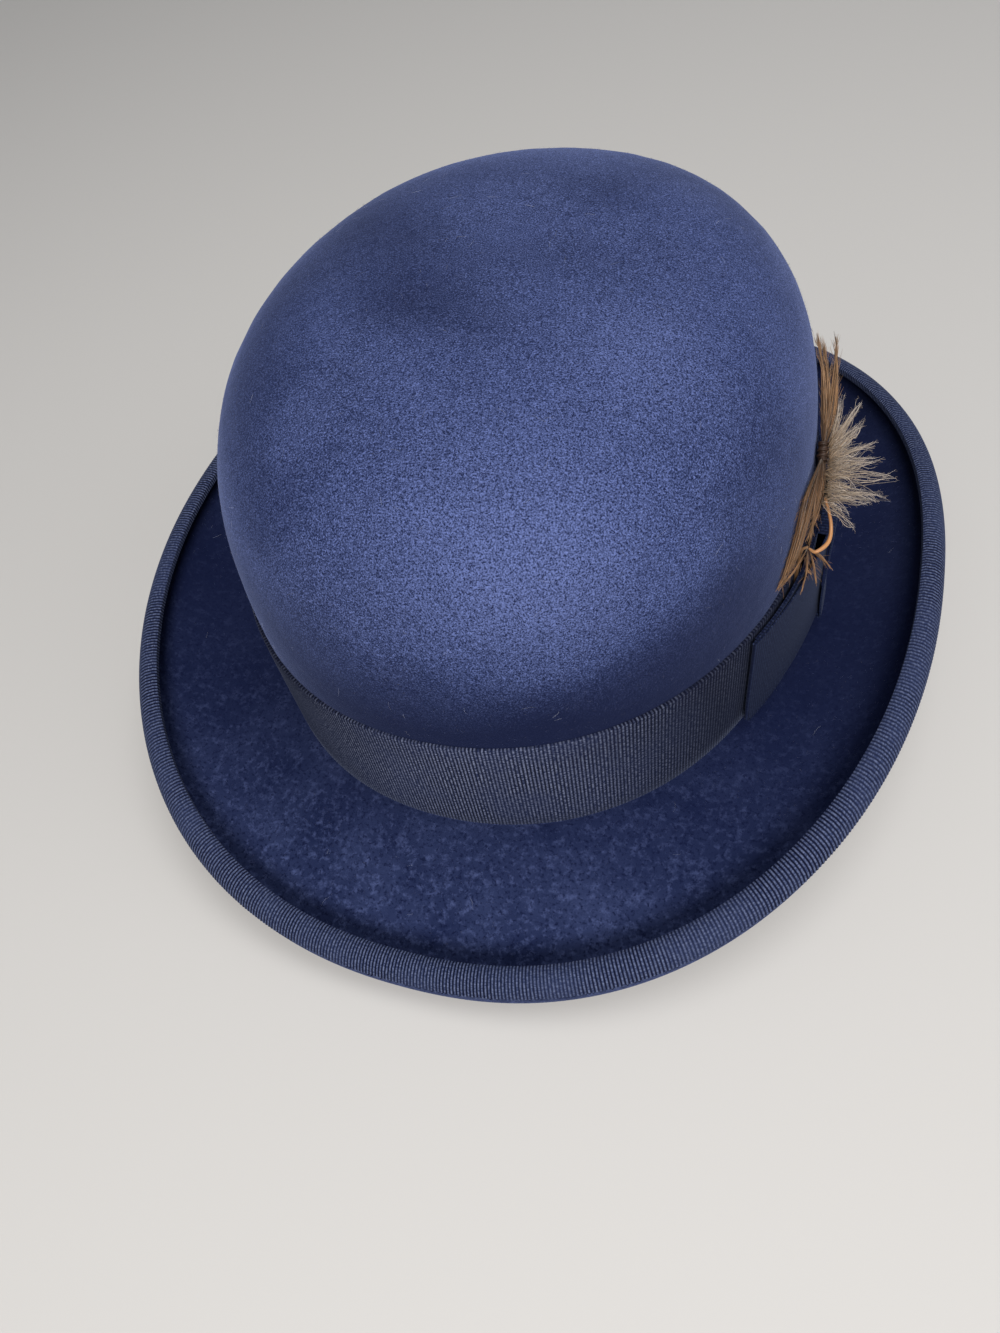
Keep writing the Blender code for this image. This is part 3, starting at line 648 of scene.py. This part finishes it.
def hat_band():
    count = 548
    turns = ring(count * 7)
    inner = np.linspace(BAND_BOTTOM + 0.35 * MM, BAND_TOP - 0.35 * MM, 8)
    heights = np.concatenate([[BAND_BOTTOM], inner, [BAND_TOP]])
    rib = ribs(turns, count, 0.14 * MM)[None, :]
    sag = np.array([-0.28] + [0.0] * 8 + [-0.28])[:, None] * MM
    wander = ripple(layer("wall", heights[:, None], turns[None, :], 0.0), 45 * MM, 21) * 0.09 * MM
    front = layer("wall", heights[:, None], turns[None, :], -(GAP + RIBBON + rib + sag + wander))
    back = layer("wall", heights[:, None], turns[None, :], 0 * rib - 0.1 * MM)
    # The band takes painted shade away from its front.
    finish = ribbon_material("band_grosgrain", speckle=0.9, dark_aside=0.78, **BAND)
    made = slab("band_ribbon", front, back, finish, uv=rib_uv(count, front))
    attach(made, "band_ribbon", "hat_band")


def binding_rows(turns, depth_of):
    """The binding's cross-section round the lip's edge: outside leg, fold, inside leg."""
    foot = blend(BINDING_OUTSIDE, turns)
    outer = np.concatenate([[0.0, 0.04], np.linspace(0.12, 0.97, 5)])
    inner = np.linspace(0.985, BINDING_INSIDE, 3)
    rows = [layer("lip", foot + (1 - foot) * place, turns, FELT + depth_of) for place in outer]
    edge = layer("lip", 1.0 + 0 * turns, turns, 0 * turns + FELT / 2)
    onward = unit(skin("lip", 1.0 + 0 * turns, turns) - skin("lip", 1.0 - NUDGE + 0 * turns, turns))
    away = skin_normal("lip", 1.0 + 0 * turns, turns)
    for angle in np.radians([-55, 0, 55]):
        reach = FELT / 2 + depth_of
        rows.append(edge + onward * (reach * cos(angle) * 0.75)[:, None]
                    + away * (reach * sin(angle))[:, None])
    rows += [layer("lip", place + 0 * turns, turns, -depth_of) for place in inner]
    return np.stack(rows)


def brim_binding():
    count = 838
    turns = ring(count * 4)
    rib = ribs(turns, count, 0.15 * MM)
    front = binding_rows(turns, GAP + BINDING_RIBBON * 0.8 + rib)
    front[0] = layer("lip", blend(BINDING_OUTSIDE, turns), turns, FELT + 0.25 * MM + 0 * turns)
    back = binding_rows(turns, 0 * rib + 0.08 * MM)
    finish = ribbon_material("binding_grosgrain", speckle=0.7, contrast=1.0, **SLATE)
    made = slab("binding_ribbon", front, back, finish, uv=rib_uv(count, front))
    attach(made, "binding_ribbon", "brim_binding")
    selvedge(count, finish)


def selvedge(count, finish):
    """The binding's woven edge: one small bead of thread below each rib of its outer leg."""
    turns = ring(count)
    foot = blend(BINDING_OUTSIDE, turns)
    step = np.linspace(-1, 1, 5)
    half = 0.32 * pi / count
    paths = np.stack([layer("lip", foot - 0.012 * (1 - place**2) ** 0.5, turns + half * place * 2,
                            FELT + (0.30 + 0.25 * (1 - place**2)) * MM + 0 * turns)
                      for place in step], axis=1)
    radii = np.full((count, 5), 0.17 * MM)
    made = strands("binding_selvedge", paths, radii, finish, sides=4, shade=RNG.uniform(0, 1, count))
    attach(made, "binding_ribbon")


# ---------------------------------------------------------------- bow


def hump(turn, start, end):
    return np.sin(pi * np.clip((turn - start) / (end - start), 0, 1))


def under_stand_off(turn, height):
    spread = hump(turn, BOW_FRONT - radians(8), BOW_BACK + radians(10))
    foot = np.clip(1 - height / BOW_TOP, 0, 1) ** FLARE_CURVE
    band = 2 * GAP + RIBBON
    return band + (POCKET - band) * spread + FLARE * spread * foot


def bow_ribs(length):
    return RIB_DEPTH * (np.abs(np.cos(pi * length / RIB_PITCH)) ** 0.7 - 0.5)


def under_layer(finish):
    """The strip of ribbon under the loops, which stands off the crown and leaves the pocket behind it."""
    turns = np.linspace(BOW_FRONT + radians(1), BOW_BACK - radians(1), 480)
    turn, height = np.meshgrid(turns, np.linspace(UNDER_BOTTOM, BOW_TOP, 20))
    lift = under_stand_off(turn, height)
    around = arc_length(layer("wall", 0 * turns + 20 * MM, turns, 0.0))
    rib = bow_ribs(around)[None, :]
    front = layer("wall", height, turn, -(lift + BOW_RIBBON + rib))
    back = layer("wall", height, turn, -lift)
    uv = stack(around[None, :] / RIB_PITCH, height, 0.0)[..., :2]
    made = slab("under_layer_ribbon", front, back, finish, wrap=False, uv=uv)
    attach(made, "band_ribbon", "bow_under_layer")


def loop_sheet(name, start, end, fold_at_start, finish, node_name):
    """A flattened loop: one ribbon that goes out along the band, folds and comes back over itself."""
    heights = LOOP_BOTTOM + (LOOP_TOP - LOOP_BOTTOM) * np.linspace(0, 1, 16) ** 1.4
    steps = 220
    share = np.linspace(0, 1, steps)
    toward_fold = 1 - share if fold_at_start else share
    turns = start + (end - start) * share

    def route(height):
        base = under_stand_off(turns, height) + BOW_RIBBON + 0.15 * MM
        swell = LOOP_FLAT + LOOP_BULGE * (1 - toward_fold) ** LOOP_TAPER
        lower = (turns, base + 0.2 * MM)
        upper = (turns, base + swell + BOW_RIBBON)
        order = slice(None) if not fold_at_start else slice(None, None, -1)
        fold = np.linspace(-pi / 2, pi / 2, 9)
        tip = turns[order][-1]
        middle = (lower[1][order][-1] + upper[1][order][-1]) / 2
        half = (upper[1][order][-1] - lower[1][order][-1]) / 2
        away = radians(0.4) * (1 if not fold_at_start else -1)
        turn = np.concatenate([lower[0][order], tip + away * np.cos(fold), upper[0][order][::-1]])
        lift = np.concatenate([lower[1][order], middle + half * np.sin(fold), upper[1][order][::-1]])
        return turn, lift

    front, back, uvs = [], [], []
    for height in heights:
        turn, lift = route(height)
        centre = layer("wall", height + 0 * turn, turn, -lift)
        along = unit(np.gradient(centre, axis=0), 1e-12)
        out = unit(np.cross(along, np.array([0.0, 0.0, 1.0])), 1e-12)
        length = arc_length(centre)
        rib = bow_ribs(length)
        sign = 1 if not fold_at_start else -1
        front.append(centre + out * sign * (0.2 * MM + rib)[:, None])
        back.append(centre - out * sign * 0.2 * MM)
        uvs.append(stack(length / RIB_PITCH, height, 0.0)[..., :2])
    made = slab(name, np.stack(front), np.stack(back), finish, wrap=False, uv=np.stack(uvs))
    attach(made, "band_ribbon", node_name)


def bow():
    # The bow's colours carry painted shade.
    finish = ribbon_material("bow_grosgrain", speckle=0.5, contrast=0.7, **BOW_SHADED)
    under_layer(finish)
    waist = (KEEPER_FRONT + KEEPER_BACK) / 2
    loop_sheet("front_loop_ribbon", BOW_FRONT, waist - radians(0.25), True, finish,
               "bow_front_loop")
    loop_sheet("back_loop_ribbon", waist + radians(0.25), BOW_BACK, False, finish,
               "bow_back_loop")
    keeper(finish)


def keeper(finish):
    """The strap round the bow's waist, its ends folded in over the loops' top and foot."""
    turns = np.linspace(KEEPER_FRONT, KEEPER_BACK, 70)
    face = 3 * BOW_RIBBON + LOOP_FLAT + LOOP_BULGE + GAP
    low, high = LOOP_BOTTOM - GAP - BOW_RIBBON / 2, LOOP_TOP + GAP + BOW_RIBBON / 2
    corner = np.linspace(0, pi / 2, 5)
    radius = 1.2 * MM
    route = [(low, 1.1 * MM)]
    route += [(low + radius * (1 - cos(a)), face + 0.4 * MM - radius * (1 - sin(a))) for a in corner]
    route += [(low + (high - low) * s, face + 0.4 * MM) for s in np.linspace(0.1, 0.9, 9)]
    route += [(high - radius * (1 - sin(a)), face + 0.4 * MM - radius * (1 - cos(a))) for a in corner]
    route += [(high, 1.1 * MM)]
    route = np.array(route)
    around = arc_length(layer("wall", 0 * turns + 20 * MM, turns, 0.0))
    rib = bow_ribs(around)
    centre = np.stack([layer("wall", height + 0 * turns, turns, -(under_stand_off(turns, height) + depth))
                       for height, depth in route])
    along = np.gradient(centre, axis=0)
    side = np.gradient(centre, axis=1)
    out = unit(np.cross(side, along), 1e-12)
    front = centre + out * (0.25 * MM + rib)[None, :, None]
    back = centre - out * 0.25 * MM
    across = arc_length(route)
    uv = stack(around[None, :] / RIB_PITCH, across[:, None], 0.0)[..., :2]
    made = slab("keeper_ribbon", front, back, finish, wrap=False, uv=uv)
    attach(made, "band_ribbon", "bow_keeper")


# ---------------------------------------------------------------- inside


def inner_ring(name, heights, depth, thick, finish, node_name, slot, wobble):
    turns = ring(360)
    height, turn = np.meshgrid(heights, turns, indexing="ij")
    wave = ripple(layer("wall", height, turn, 0.0), 38 * MM, 31) * wobble
    front = layer("wall", height, turn, depth + wave)
    back = layer("wall", height, turn, depth + thick + wave)
    made = slab(name, front, back, finish)
    attach(made, slot, node_name)
    return made


def inside():
    base = FELT + GAP
    inner_ring("sweatband_leather", np.linspace(2.6, 50.0, 26) * MM, base + SATIN + GAP, LEATHER,
               leather_material("sweat_leather"), "sweatband", "sweat_leather", 0.12 * MM)
    satin = plain_material("lining_satin", (0.016, 0.024, 0.080), (0.030, 0.042, 0.120), 0.32, 300,
                           0.03 * MM, specular=0.6)
    turns = ring(360)
    stations = [("top", np.linspace(0.717, TURN_OVER, 12)),
                ("wall", SHOULDER * (1 - np.linspace(0, 0.656, 26)))]
    front = rows_of(stations, turns, base)
    pleat = np.abs(np.sin(turns * 30))[None, :, None] * 0.25 * MM
    inward = -unit(front)
    back = rows_of(stations, turns, base + SATIN) + inward * pleat
    side = slab("lining_side_satin", front, back, satin)
    tip_places = [("top", np.linspace(0, 0.711, 26))]
    front = rows_of(tip_places, turns, base)
    back = rows_of(tip_places, turns, base + SATIN)
    tip = slab("lining_tip_satin", front, back, satin, pole=True)
    pieces = ((side, "lining_side", (0.60, 0.085), "gathered"),
              (tip, "lining_tip", (0.15, 0.13), "stretched"))
    for made, name, flat, held in pieces:
        attach(made, "lining_satin", name)
    tape = plain_material("black_tape", (0.010, 0.010, 0.012), (0.030, 0.030, 0.034), 0.8, 900, 0.05 * MM)
    reed = plain_material("reed", (0.012, 0.012, 0.014), (0.02, 0.02, 0.022), 0.4, 500, 0.01 * MM)
    paper = plain_material("paper", (0.70, 0.68, 0.62), (0.80, 0.78, 0.72), 0.85, 800, 0.02 * MM)
    reed_and_tape(reed, tape)
    sweatband_bow(tape)
    size_tab(paper)


def reed_and_tape(reed, tape):
    """The springy reed at the sweatband's foot, and the stitched tape that carries it."""
    turns = ring(360)
    centre = layer("wall", FILLET + 0 * turns, turns, REED_DEPTH + 0 * turns)
    centre[:, 2] = REED_HEIGHT + LIFT
    outward = skin_normal("wall", FILLET + 0 * turns, turns)
    outward[:, 2] = 0
    outward = unit(outward)
    up = np.array([0.0, 0.0, 1.0])

    def rounds(radius, angles):
        radius = np.broadcast_to(radius, turns.shape)[:, None]
        return np.stack([centre + outward * (radius * cos(a)) + up * (radius * sin(a)) for a in angles])

    angles = np.linspace(0, 2 * pi, 13)[:-1]
    tube = rounds(REED_RADIUS, angles)
    faces = quads(0, 12, 360, True)
    index = np.arange(12 * 360).reshape(12, 360)
    faces = np.concatenate([faces, between(index[-1], index[0], True)[:, ::-1]])
    made = mesh_object("reed_ring", tube, faces.tolist(), reed, None, None)
    weld(made.data, 1e-7)
    attach(made, "reed_plastic", "sweatband_reed")
    stitch = 0.05 * MM * np.cos(turns * 150)
    open_angles = np.radians(np.linspace(120, 420, 21))
    outer = rounds(REED_RADIUS + GAP + TAPE + stitch, open_angles)
    made = slab("reed_tape_cloth", outer, rounds(REED_RADIUS + GAP + 0 * stitch, open_angles), tape)
    attach(made, "black_tape", "reed_tape")


def sweatband_bow(finish):
    """A small flat ribbon bow over the sweatband's back seam: two loops and a knot."""
    turns = radians(90) + radians(5.2) * np.linspace(-1, 1, 61)
    side = np.abs(np.linspace(-1, 1, 61))
    waisted = 0.6 + 0.4 * np.sin(np.clip(side * 1.35, 0, pi / 2))
    wide = 4.5 * MM * waisted * np.clip((1.02 - side) * 12, 0.75, 1)
    level = np.linspace(-1, 1, 17)[:, None]
    face = FELT + GAP + SATIN + GAP + LEATHER + 2 * GAP
    puff = (0.15 + 0.65 * np.exp(-((side - 0.55) / 0.28) ** 2)) * (1 - 0.4 * level**2) * MM
    pleat = 0.06 * MM * np.cos(level * 9 + 0 * turns) * np.clip(1 - side, 0, 1)
    height = 9.0 * MM + level * wide
    made = slab("sweatband_bow_ribbon", layer("wall", height, turns[None], face + 0.15 * MM + puff + pleat),
                layer("wall", height, turns[None], face + 0 * puff), finish, wrap=False)
    attach(made, "black_tape", "sweatband_bow")


def size_tab(finish):
    """A blank paper tab, slightly curled, with rounded corners."""
    across, up = np.meshgrid(np.linspace(-1, 1, 25), np.linspace(-1, 1, 25))
    squeeze = (1 - 0.06 * up**8) * across
    height = 58.0 * MM + 5.0 * MM * up * (1 - 0.06 * across**8)
    turn = radians(90) + radians(2.6) * squeeze
    curl = 0.12 * MM * (up**2 + 0.3 * across**2)
    depth = FELT + 4 * GAP + SATIN
    made = slab("size_tab_paper", layer("wall", height, turn, depth + 0.2 * MM + curl),
                layer("wall", height, turn, depth + curl), finish, wrap=False)
    attach(made, "paper_tab", "size_tab")


# ---------------------------------------------------------------- feather


TIE = np.array([89.4, -4.0, 69.5]) * MM + np.array([0.0, 0.0, LIFT])
ALONG = np.array([-0.10, 0.84, 0.53]) / np.linalg.norm([-0.10, 0.84, 0.53])
STEM = np.array([87.87, -26.0, 22.0]) * MM + np.array([0.0, 0.0, LIFT])
KNOT = (0.3, -21.5, -15.5)
# Shapes of the sprig, in mm from the tie.
BACK_TIPS = ((-7.0, 31.3, 15.6), (-5.2, 29.0, 15.0), (-2.2, 33.3, 15.4))
DRAPED = ((-2.6, -18.2, -0.6), (-3.2, -24.3, -8.2), (-4.6, -31.0, -17.0), (-6.2, -36.0, -19.5))
SPLAYED = ((-6.3, -36.0, -19.0), (0.5, -33.0, -23.0), (4.5, -29.0, -23.5), (8.4, -22.3, -23.5),
           (2.8, -27.0, -21.0))
QUILL = ((2.6, -12.5, -5.0), (5.2, -16.2, -10.6), (5.4, -20.0, -14.0), (2.6, -23.0, -15.4),
         (0.6, -22.0, -15.6))
PLUME_TIPS = ((2.3, 17.0, 4.5), (7.9, 16.9, 4.5), (9.5, 10.0, 3.0), (13.2, 5.1, 0.5), (14.3, -0.5, -0.5),
              (19.1, -4.7, -2.5), (17.9, -9.6, -5.5), (14.3, -9.9, -6.5), (12.1, -18.7, -9.5))
PLUME_ROOT = ((1.6, 3.0, 2.2), (2.6, -13.0, -6.0))


def through(points, steps):
    """A smooth curve through points, evenly stepped."""
    points = np.asarray(points, float)
    padded = np.concatenate([[2 * points[0] - points[1]], points, [2 * points[-1] - points[-2]]])
    made = []
    for place in np.linspace(0, len(points) - 1 - 1e-9, steps):
        index, t = int(place), place - int(place)
        a, b, c, d = padded[index:index + 4]
        made.append(0.5 * (2 * b + (c - a) * t + (2 * a - 5 * b + 4 * c - d) * t**2
                           + (3 * b - a - 3 * c + d) * t**3))
    return np.array(made)


def bundle(route, count, steps, width, spread_tip, seed, thin=(1.0, 0.5)):
    """Strands that run side by side along a route, wander a little and end at different places."""
    rng = np.random.default_rng(seed)
    spine = through(route, 60)
    share = np.linspace(0, 1, steps)
    paths = []
    for _ in range(count):
        reach = rng.uniform(0.72, 1.0)
        begin = rng.uniform(0.0, 0.08)
        place = (begin + (reach - begin) * share) * 59
        line = np.stack([np.interp(place, np.arange(60), spine[:, axis]) for axis in range(3)], axis=-1)
        side = rng.normal(size=3) * np.array([thin[1], thin[0], thin[0]])
        belly = np.sin(pi * np.clip(share * 0.85 + 0.1, 0, 1))[:, None]
        wave = np.sin(share * rng.uniform(3, 8) + rng.uniform(0, 6))[:, None] * rng.normal(size=3) * 0.16
        paths.append(line + side * width * 0.4 * (belly + spread_tip * share[:, None] ** 2)
                     + wave * share[:, None])
    return np.array(paths)


def off_crown(paths, clear):
    """Push points out of the crown's skin, with some clearance."""
    x, y, z = np.moveaxis(paths, -1, 0)
    level = np.clip(z - LIFT, 0, CROWN_HEIGHT * 0.98)
    reach = (1 - (level / CROWN_HEIGHT) ** CROWN_FULLNESS) ** (1 / CROWN_ROUNDNESS)
    across = np.clip(1 - np.abs(y / (CROWN_HALF_LENGTH * reach)) ** CROWN_OVAL, 0, 1) ** (1 / CROWN_OVAL)
    least = CROWN_HALF_WIDTH * reach * across + clear
    return stack(np.maximum(x, least), y, z)


def sprig(name, paths, radii, finish, slot, replaced=(), clear=0.35 * MM, **options):
    placed = off_crown(TIE + paths * MM, clear)
    made = strands(name, placed, radii, finish, **options)
    attach(made, slot, *replaced, body="feather")
    return made


def taper(count, steps, radius, tip, rng, root=0.7):
    share = np.linspace(0, 1, steps)
    shape = np.interp(share, [0, 0.3, 0.75, 1.0], [root, 1.0, 0.75, tip])
    return radius * MM * shape[None] * rng.uniform(0.75, 1.25, (count, 1))


def barbs_on(paths, each, length, rng, forward=0.9):
    """Short fine hairs that leave each strand sideways and lean towards its tip."""
    count, steps = paths.shape[:2]
    strand = rng.integers(0, count, count * each)
    at = rng.uniform(1, steps - 1.01, count * each)
    low = at.astype(int)
    base = paths[strand, low] + (paths[strand, low + 1] - paths[strand, low]) * (at - low)[:, None]
    onward = unit(paths[strand, low + 1] - paths[strand, low], 1e-9)
    side = unit(np.cross(onward, rng.normal(size=onward.shape)), 1e-9)
    reach = (length * rng.uniform(0.5, 1.2, (len(strand), 1, 1)))
    share = np.linspace(0, 1, 4)[None, :, None]
    return base[:, None] + reach * (side[:, None] * share * 0.8 + onward[:, None] * forward * share**1.4)


def feather():
    rng = np.random.default_rng(77)
    tan = strand_material("hackle_tan", (0.060, 0.030, 0.014), (0.240, 0.130, 0.060),
                          (0.330, 0.200, 0.110), 0.45)
    brown = strand_material("hackle_brown", (0.050, 0.024, 0.011), (0.190, 0.095, 0.040),
                            (0.260, 0.140, 0.065), 0.5)
    umber = strand_material("hackle_umber", (0.022, 0.011, 0.006), (0.085, 0.042, 0.019),
                            (0.180, 0.100, 0.052), 0.5)
    start = tuple(ALONG * 1.0)
    parts = []
    for number, tip in enumerate(BACK_TIPS):
        lean = (number - 1) * 0.9
        middle = (-0.1 + lean - 0.04 * abs(tip[0]), 10.5, 4.3)
        later = tuple(0.45 * np.array(middle) + 0.55 * np.array(tip) + np.array([0.8, 0, 0]))
        parts.append(bundle([start, middle, later, tip], 46, 14, 1.5, -0.9, 100 + number, (0.7, 0.9)))
    back = np.concatenate(parts)
    radii = taper(len(back), 14, 0.20, 0.25, rng)
    sprig("hackle_back_strands", back[::2], radii[::2], tan, "hackle_feather",
          [f"hackle_back_{n}" for n in (1, 2, 3)], shade=rng.uniform(0, 0.9, len(back[::2])))
    sprig("hackle_back_dark_strands", back[1::2], radii[1::2], umber, "hackle_feather",
          shade=rng.uniform(0, 1, len(back[1::2])))
    wisps = barbs_on(back, 2, 2.2, rng, 2.2)
    sprig("hackle_back_barbs", wisps, taper(len(wisps), 4, 0.05, 0.3, rng), tan, "hackle_feather",
          shade=rng.uniform(0.2, 1, len(wisps)))

    parts = [bundle([tuple(-ALONG)] + list(DRAPED), 44, 16, 1.7, 0.5, 120, (0.9, 0.4)),
             bundle([tuple(-ALONG), (-1.0, -13.0, -5.5), (-2.6, -25.5, -14.5), (-5.2, -33.5, -17.0)],
                    30, 16, 1.5, 0.3, 121),
             bundle([tuple(-ALONG), (0.6, -11.0, -7.2), KNOT], 56, 16, 2.0, -0.8, 122, (0.9, 0.8))]
    front = np.concatenate(parts)
    radii = taper(len(front), 16, 0.17, 0.3, rng)
    sprig("hackle_front_strands", front[::2], radii[::2], brown, "hackle_feather",
          [f"hackle_front_{n}" for n in (1, 2, 3)], shade=rng.uniform(0, 1, len(front[::2])))
    sprig("hackle_front_dark_strands", front[1::2], radii[1::2], umber, "hackle_feather",
          shade=rng.uniform(0, 1, len(front[1::2])))
    parts = []
    for number, tip in enumerate(SPLAYED):
        bend = tuple(0.5 * (np.array(KNOT) + np.array(tip)) + rng.normal(size=3) * 0.9)
        parts.append(bundle([KNOT, bend, tip], 6, 10, 0.5, -0.6, 140 + number))
    splay = np.concatenate(parts)
    sprig("hackle_splayed", splay, taper(len(splay), 10, 0.17, 0.3, rng), brown, "hackle_feather",
          shade=rng.uniform(0.3, 1, len(splay)))
    hairs = barbs_on(np.concatenate([front[:, ::2][:, :8], splay[:, :8]]), 3, 2.4, rng, 1.0)
    sprig("hackle_front_barbs", hairs, taper(len(hairs), 4, 0.045, 0.3, rng), brown, "hackle_feather",
          shade=rng.uniform(0.2, 1, len(hairs)))

    horn = strand_material("quill_horn", (0.30, 0.13, 0.045), (0.46, 0.21, 0.075), (0.40, 0.20, 0.09), 0.35)
    quill_radii = 0.62 * MM * np.interp(np.linspace(0, 1, 30), [0, 0.6, 1], [0.6, 1, 0.5])
    sprig("quill", through(QUILL, 30)[None], quill_radii[None], horn, "quill_horn", ["feather_quill"],
          sides=10, shade=np.array([0.5]))
    rise = np.array(KNOT) * MM + TIE
    stem = (np.array([STEM, STEM + [0, 0, 20 * MM], STEM + [0.2 * MM, 0.2 * MM, 30 * MM], rise]) - TIE) / MM
    sprig("stem", through(stem, 20)[None], np.full((1, 20), 0.45 * MM), brown, "hackle_feather",
          ["feather_stem"], sides=8, shade=np.array([0.3]))
    knot_of_thread()
    plume(rng)


def knot_of_thread():
    """Turns of dark thread round the sprig, over a rounded core."""
    thread = plain_material("tie_thread", (0.016, 0.007, 0.004), (0.050, 0.022, 0.010), 0.6, 1500, 0.04 * MM)
    share = np.linspace(-1, 1, 260)
    angle = share * pi * 10
    side = np.cross(ALONG, [1.0, 0, 0])
    side /= np.linalg.norm(side)
    other = np.cross(side, ALONG)
    radius = 1.35 + 0.25 * np.sin(angle * 0.31) + 0.1 * np.cos(angle * 1.7)
    turns = (ALONG * (share * 2.6)[:, None] + side * (radius * 1.15 * np.cos(angle))[:, None]
             + other * (radius * 0.85 * np.sin(angle))[:, None])
    core = ALONG * (share[::10] * 2.9)[:, None]
    core_radii = 1.15 * MM * np.sqrt(np.clip(1.03 - share[::10] ** 2, 0, 1))
    sprig("tie_core", core[None], core_radii[None], thread, "tie_thread", sides=12, clear=1.3 * MM,
          shade=np.array([0.5]))
    sprig("tie_thread_turns", turns[None], np.full((1, 260), 0.27 * MM), thread, "tie_thread",
          ["feather_wrap"], sides=6, helper=ALONG, clear=0.3 * MM, shade=np.array([0.5]))


def plume(rng):
    """Down: soft wavy strands that fan out from the tie and gather into wisps."""
    down = strand_material("plume_down", (0.150, 0.095, 0.052), (0.380, 0.300, 0.225),
                           (0.500, 0.450, 0.410), 0.85)
    tips, roots = np.array(PLUME_TIPS), np.array(PLUME_ROOT)
    count, steps = 330, 14
    share = np.linspace(0, 1, steps)
    paths = []
    for _ in range(count):
        place = rng.uniform(0, len(tips) - 1)
        whole = round(place)
        gather = rng.uniform(0.55, 1.0)
        place = place * (1 - gather) + whole * gather
        low = min(int(place), len(tips) - 2)
        tip = tips[low] + (tips[low + 1] - tips[low]) * (place - low)
        where = place / (len(tips) - 1)
        slide = np.clip(where * rng.uniform(0.8, 1.2) + rng.normal() * 0.06, 0, 1)
        root = roots[0] + (roots[1] - roots[0]) * slide
        root = root + rng.normal(size=3) * [0.5, 0.6, 0.6]
        reach = rng.uniform(0.25, 0.72) if rng.uniform() < 0.62 else rng.uniform(0.78, 1.1)
        tip = root + (tip - root) * reach + rng.normal(size=3) * [0.3, 0.45, 0.7]
        bend = 0.5 * (root + tip) + rng.normal(size=3) * [0.7, 1.1, 1.3] + np.array([0.8, 0.0, 0.8])
        line = (root * (1 - share[:, None]) ** 2 + bend * 2 * (share * (1 - share))[:, None]
                + tip * share[:, None] ** 2)
        wave = np.sin(share * rng.uniform(5, 12) + rng.uniform(0, 6))[:, None] * rng.normal(size=3) * 0.5
        paths.append(line + wave * share[:, None])
    paths = np.array(paths)
    sprig("plume_strands", paths, taper(count, steps, 0.085, 0.25, rng, 1.3), down, "plume_down",
          ["feather_plume"], shade=rng.uniform(0, 1, count))
    hairs = barbs_on(paths, 9, 1.0, rng)
    sprig("plume_barbules", hairs, taper(len(hairs), 4, 0.028, 0.4, rng), down, "plume_down",
          shade=rng.uniform(0, 1, len(hairs)))


# ---------------------------------------------------------------- stage, light and camera


def stage():
    bpy.ops.mesh.primitive_plane_add(size=6.0, location=(0, 0, -0.0003))
    floor = bpy.context.object
    floor.name = "floor"
    made, _, shader = new_material("pale_floor", 0.7, specular=0.3)
    shader.inputs["Base Color"].default_value = (0.55, 0.535, 0.515, 1)
    floor.data.materials.append(made)
    world = bpy.data.worlds.new("studio")
    world.use_nodes = True
    world.node_tree.nodes["Background"].inputs["Color"].default_value = (0.95, 0.97, 1.0, 1)
    world.node_tree.nodes["Background"].inputs["Strength"].default_value = 0.26
    bpy.context.scene.world = world
    lamp("key", (0.32, -0.92, 0.95), (0.0, -0.05, 0.06), 0.45, 16.0, (1.0, 0.98, 0.96))
    lamp("fill", (1.2, 0.1, 1.0), (0.0, 0.0, 0.05), 1.0, 3.0, (0.95, 0.97, 1.0))
    lamp("top", (0.25, 0.2, 1.5), (0.0, 0.0, 0.08), 1.0, 7.0, (0.97, 0.98, 1.0))


def lamp(name, place, target, size, power, color):
    data = bpy.data.lights.new(name, "AREA")
    data.shape = "DISK"
    data.size = size
    data.energy = power
    data.color = color
    made = bpy.data.objects.new(name, data)
    made.location = place
    made.rotation_euler = (Vector(target) - Vector(place)).to_track_quat("-Z", "Y").to_euler()
    bpy.context.scene.collection.objects.link(made)


CAMERA_TILT = radians(53.225)
CAMERA_SWING = radians(26.604)
CAMERA_ROLL = radians(-12.295)
CAMERA_DISTANCE = 265.39 * MM
CAMERA_TARGET = Vector((15.18 * MM, -79.34 * MM, 50.0 * MM + LIFT))
LENS = 26.332
SENSOR = 36.0


def camera():
    level = cos(CAMERA_TILT)
    back = Vector((sin(CAMERA_SWING) * level, -cos(CAMERA_SWING) * level, sin(CAMERA_TILT)))
    right = (-back).cross(Vector((0, 0, 1))).normalized()
    up = right.cross(-back)
    turned = right * cos(CAMERA_ROLL) + up * sin(CAMERA_ROLL)
    upward = up * cos(CAMERA_ROLL) - right * sin(CAMERA_ROLL)
    data = bpy.data.cameras.new("camera")
    data.sensor_fit = "VERTICAL"
    data.sensor_height = SENSOR
    data.lens = LENS
    data.clip_start = 0.01
    made = bpy.data.objects.new("camera", data)
    turn = Matrix((turned, upward, back)).transposed().to_4x4()
    made.matrix_world = Matrix.Translation(CAMERA_TARGET + back * CAMERA_DISTANCE) @ turn
    bpy.context.scene.collection.objects.link(made)
    bpy.context.scene.camera = made


camera()
felt_body()
all_nap()
hat_band()
brim_binding()
bow()
inside()
feather()
stage()
bpy.context.scene.view_settings.view_transform = "Standard"
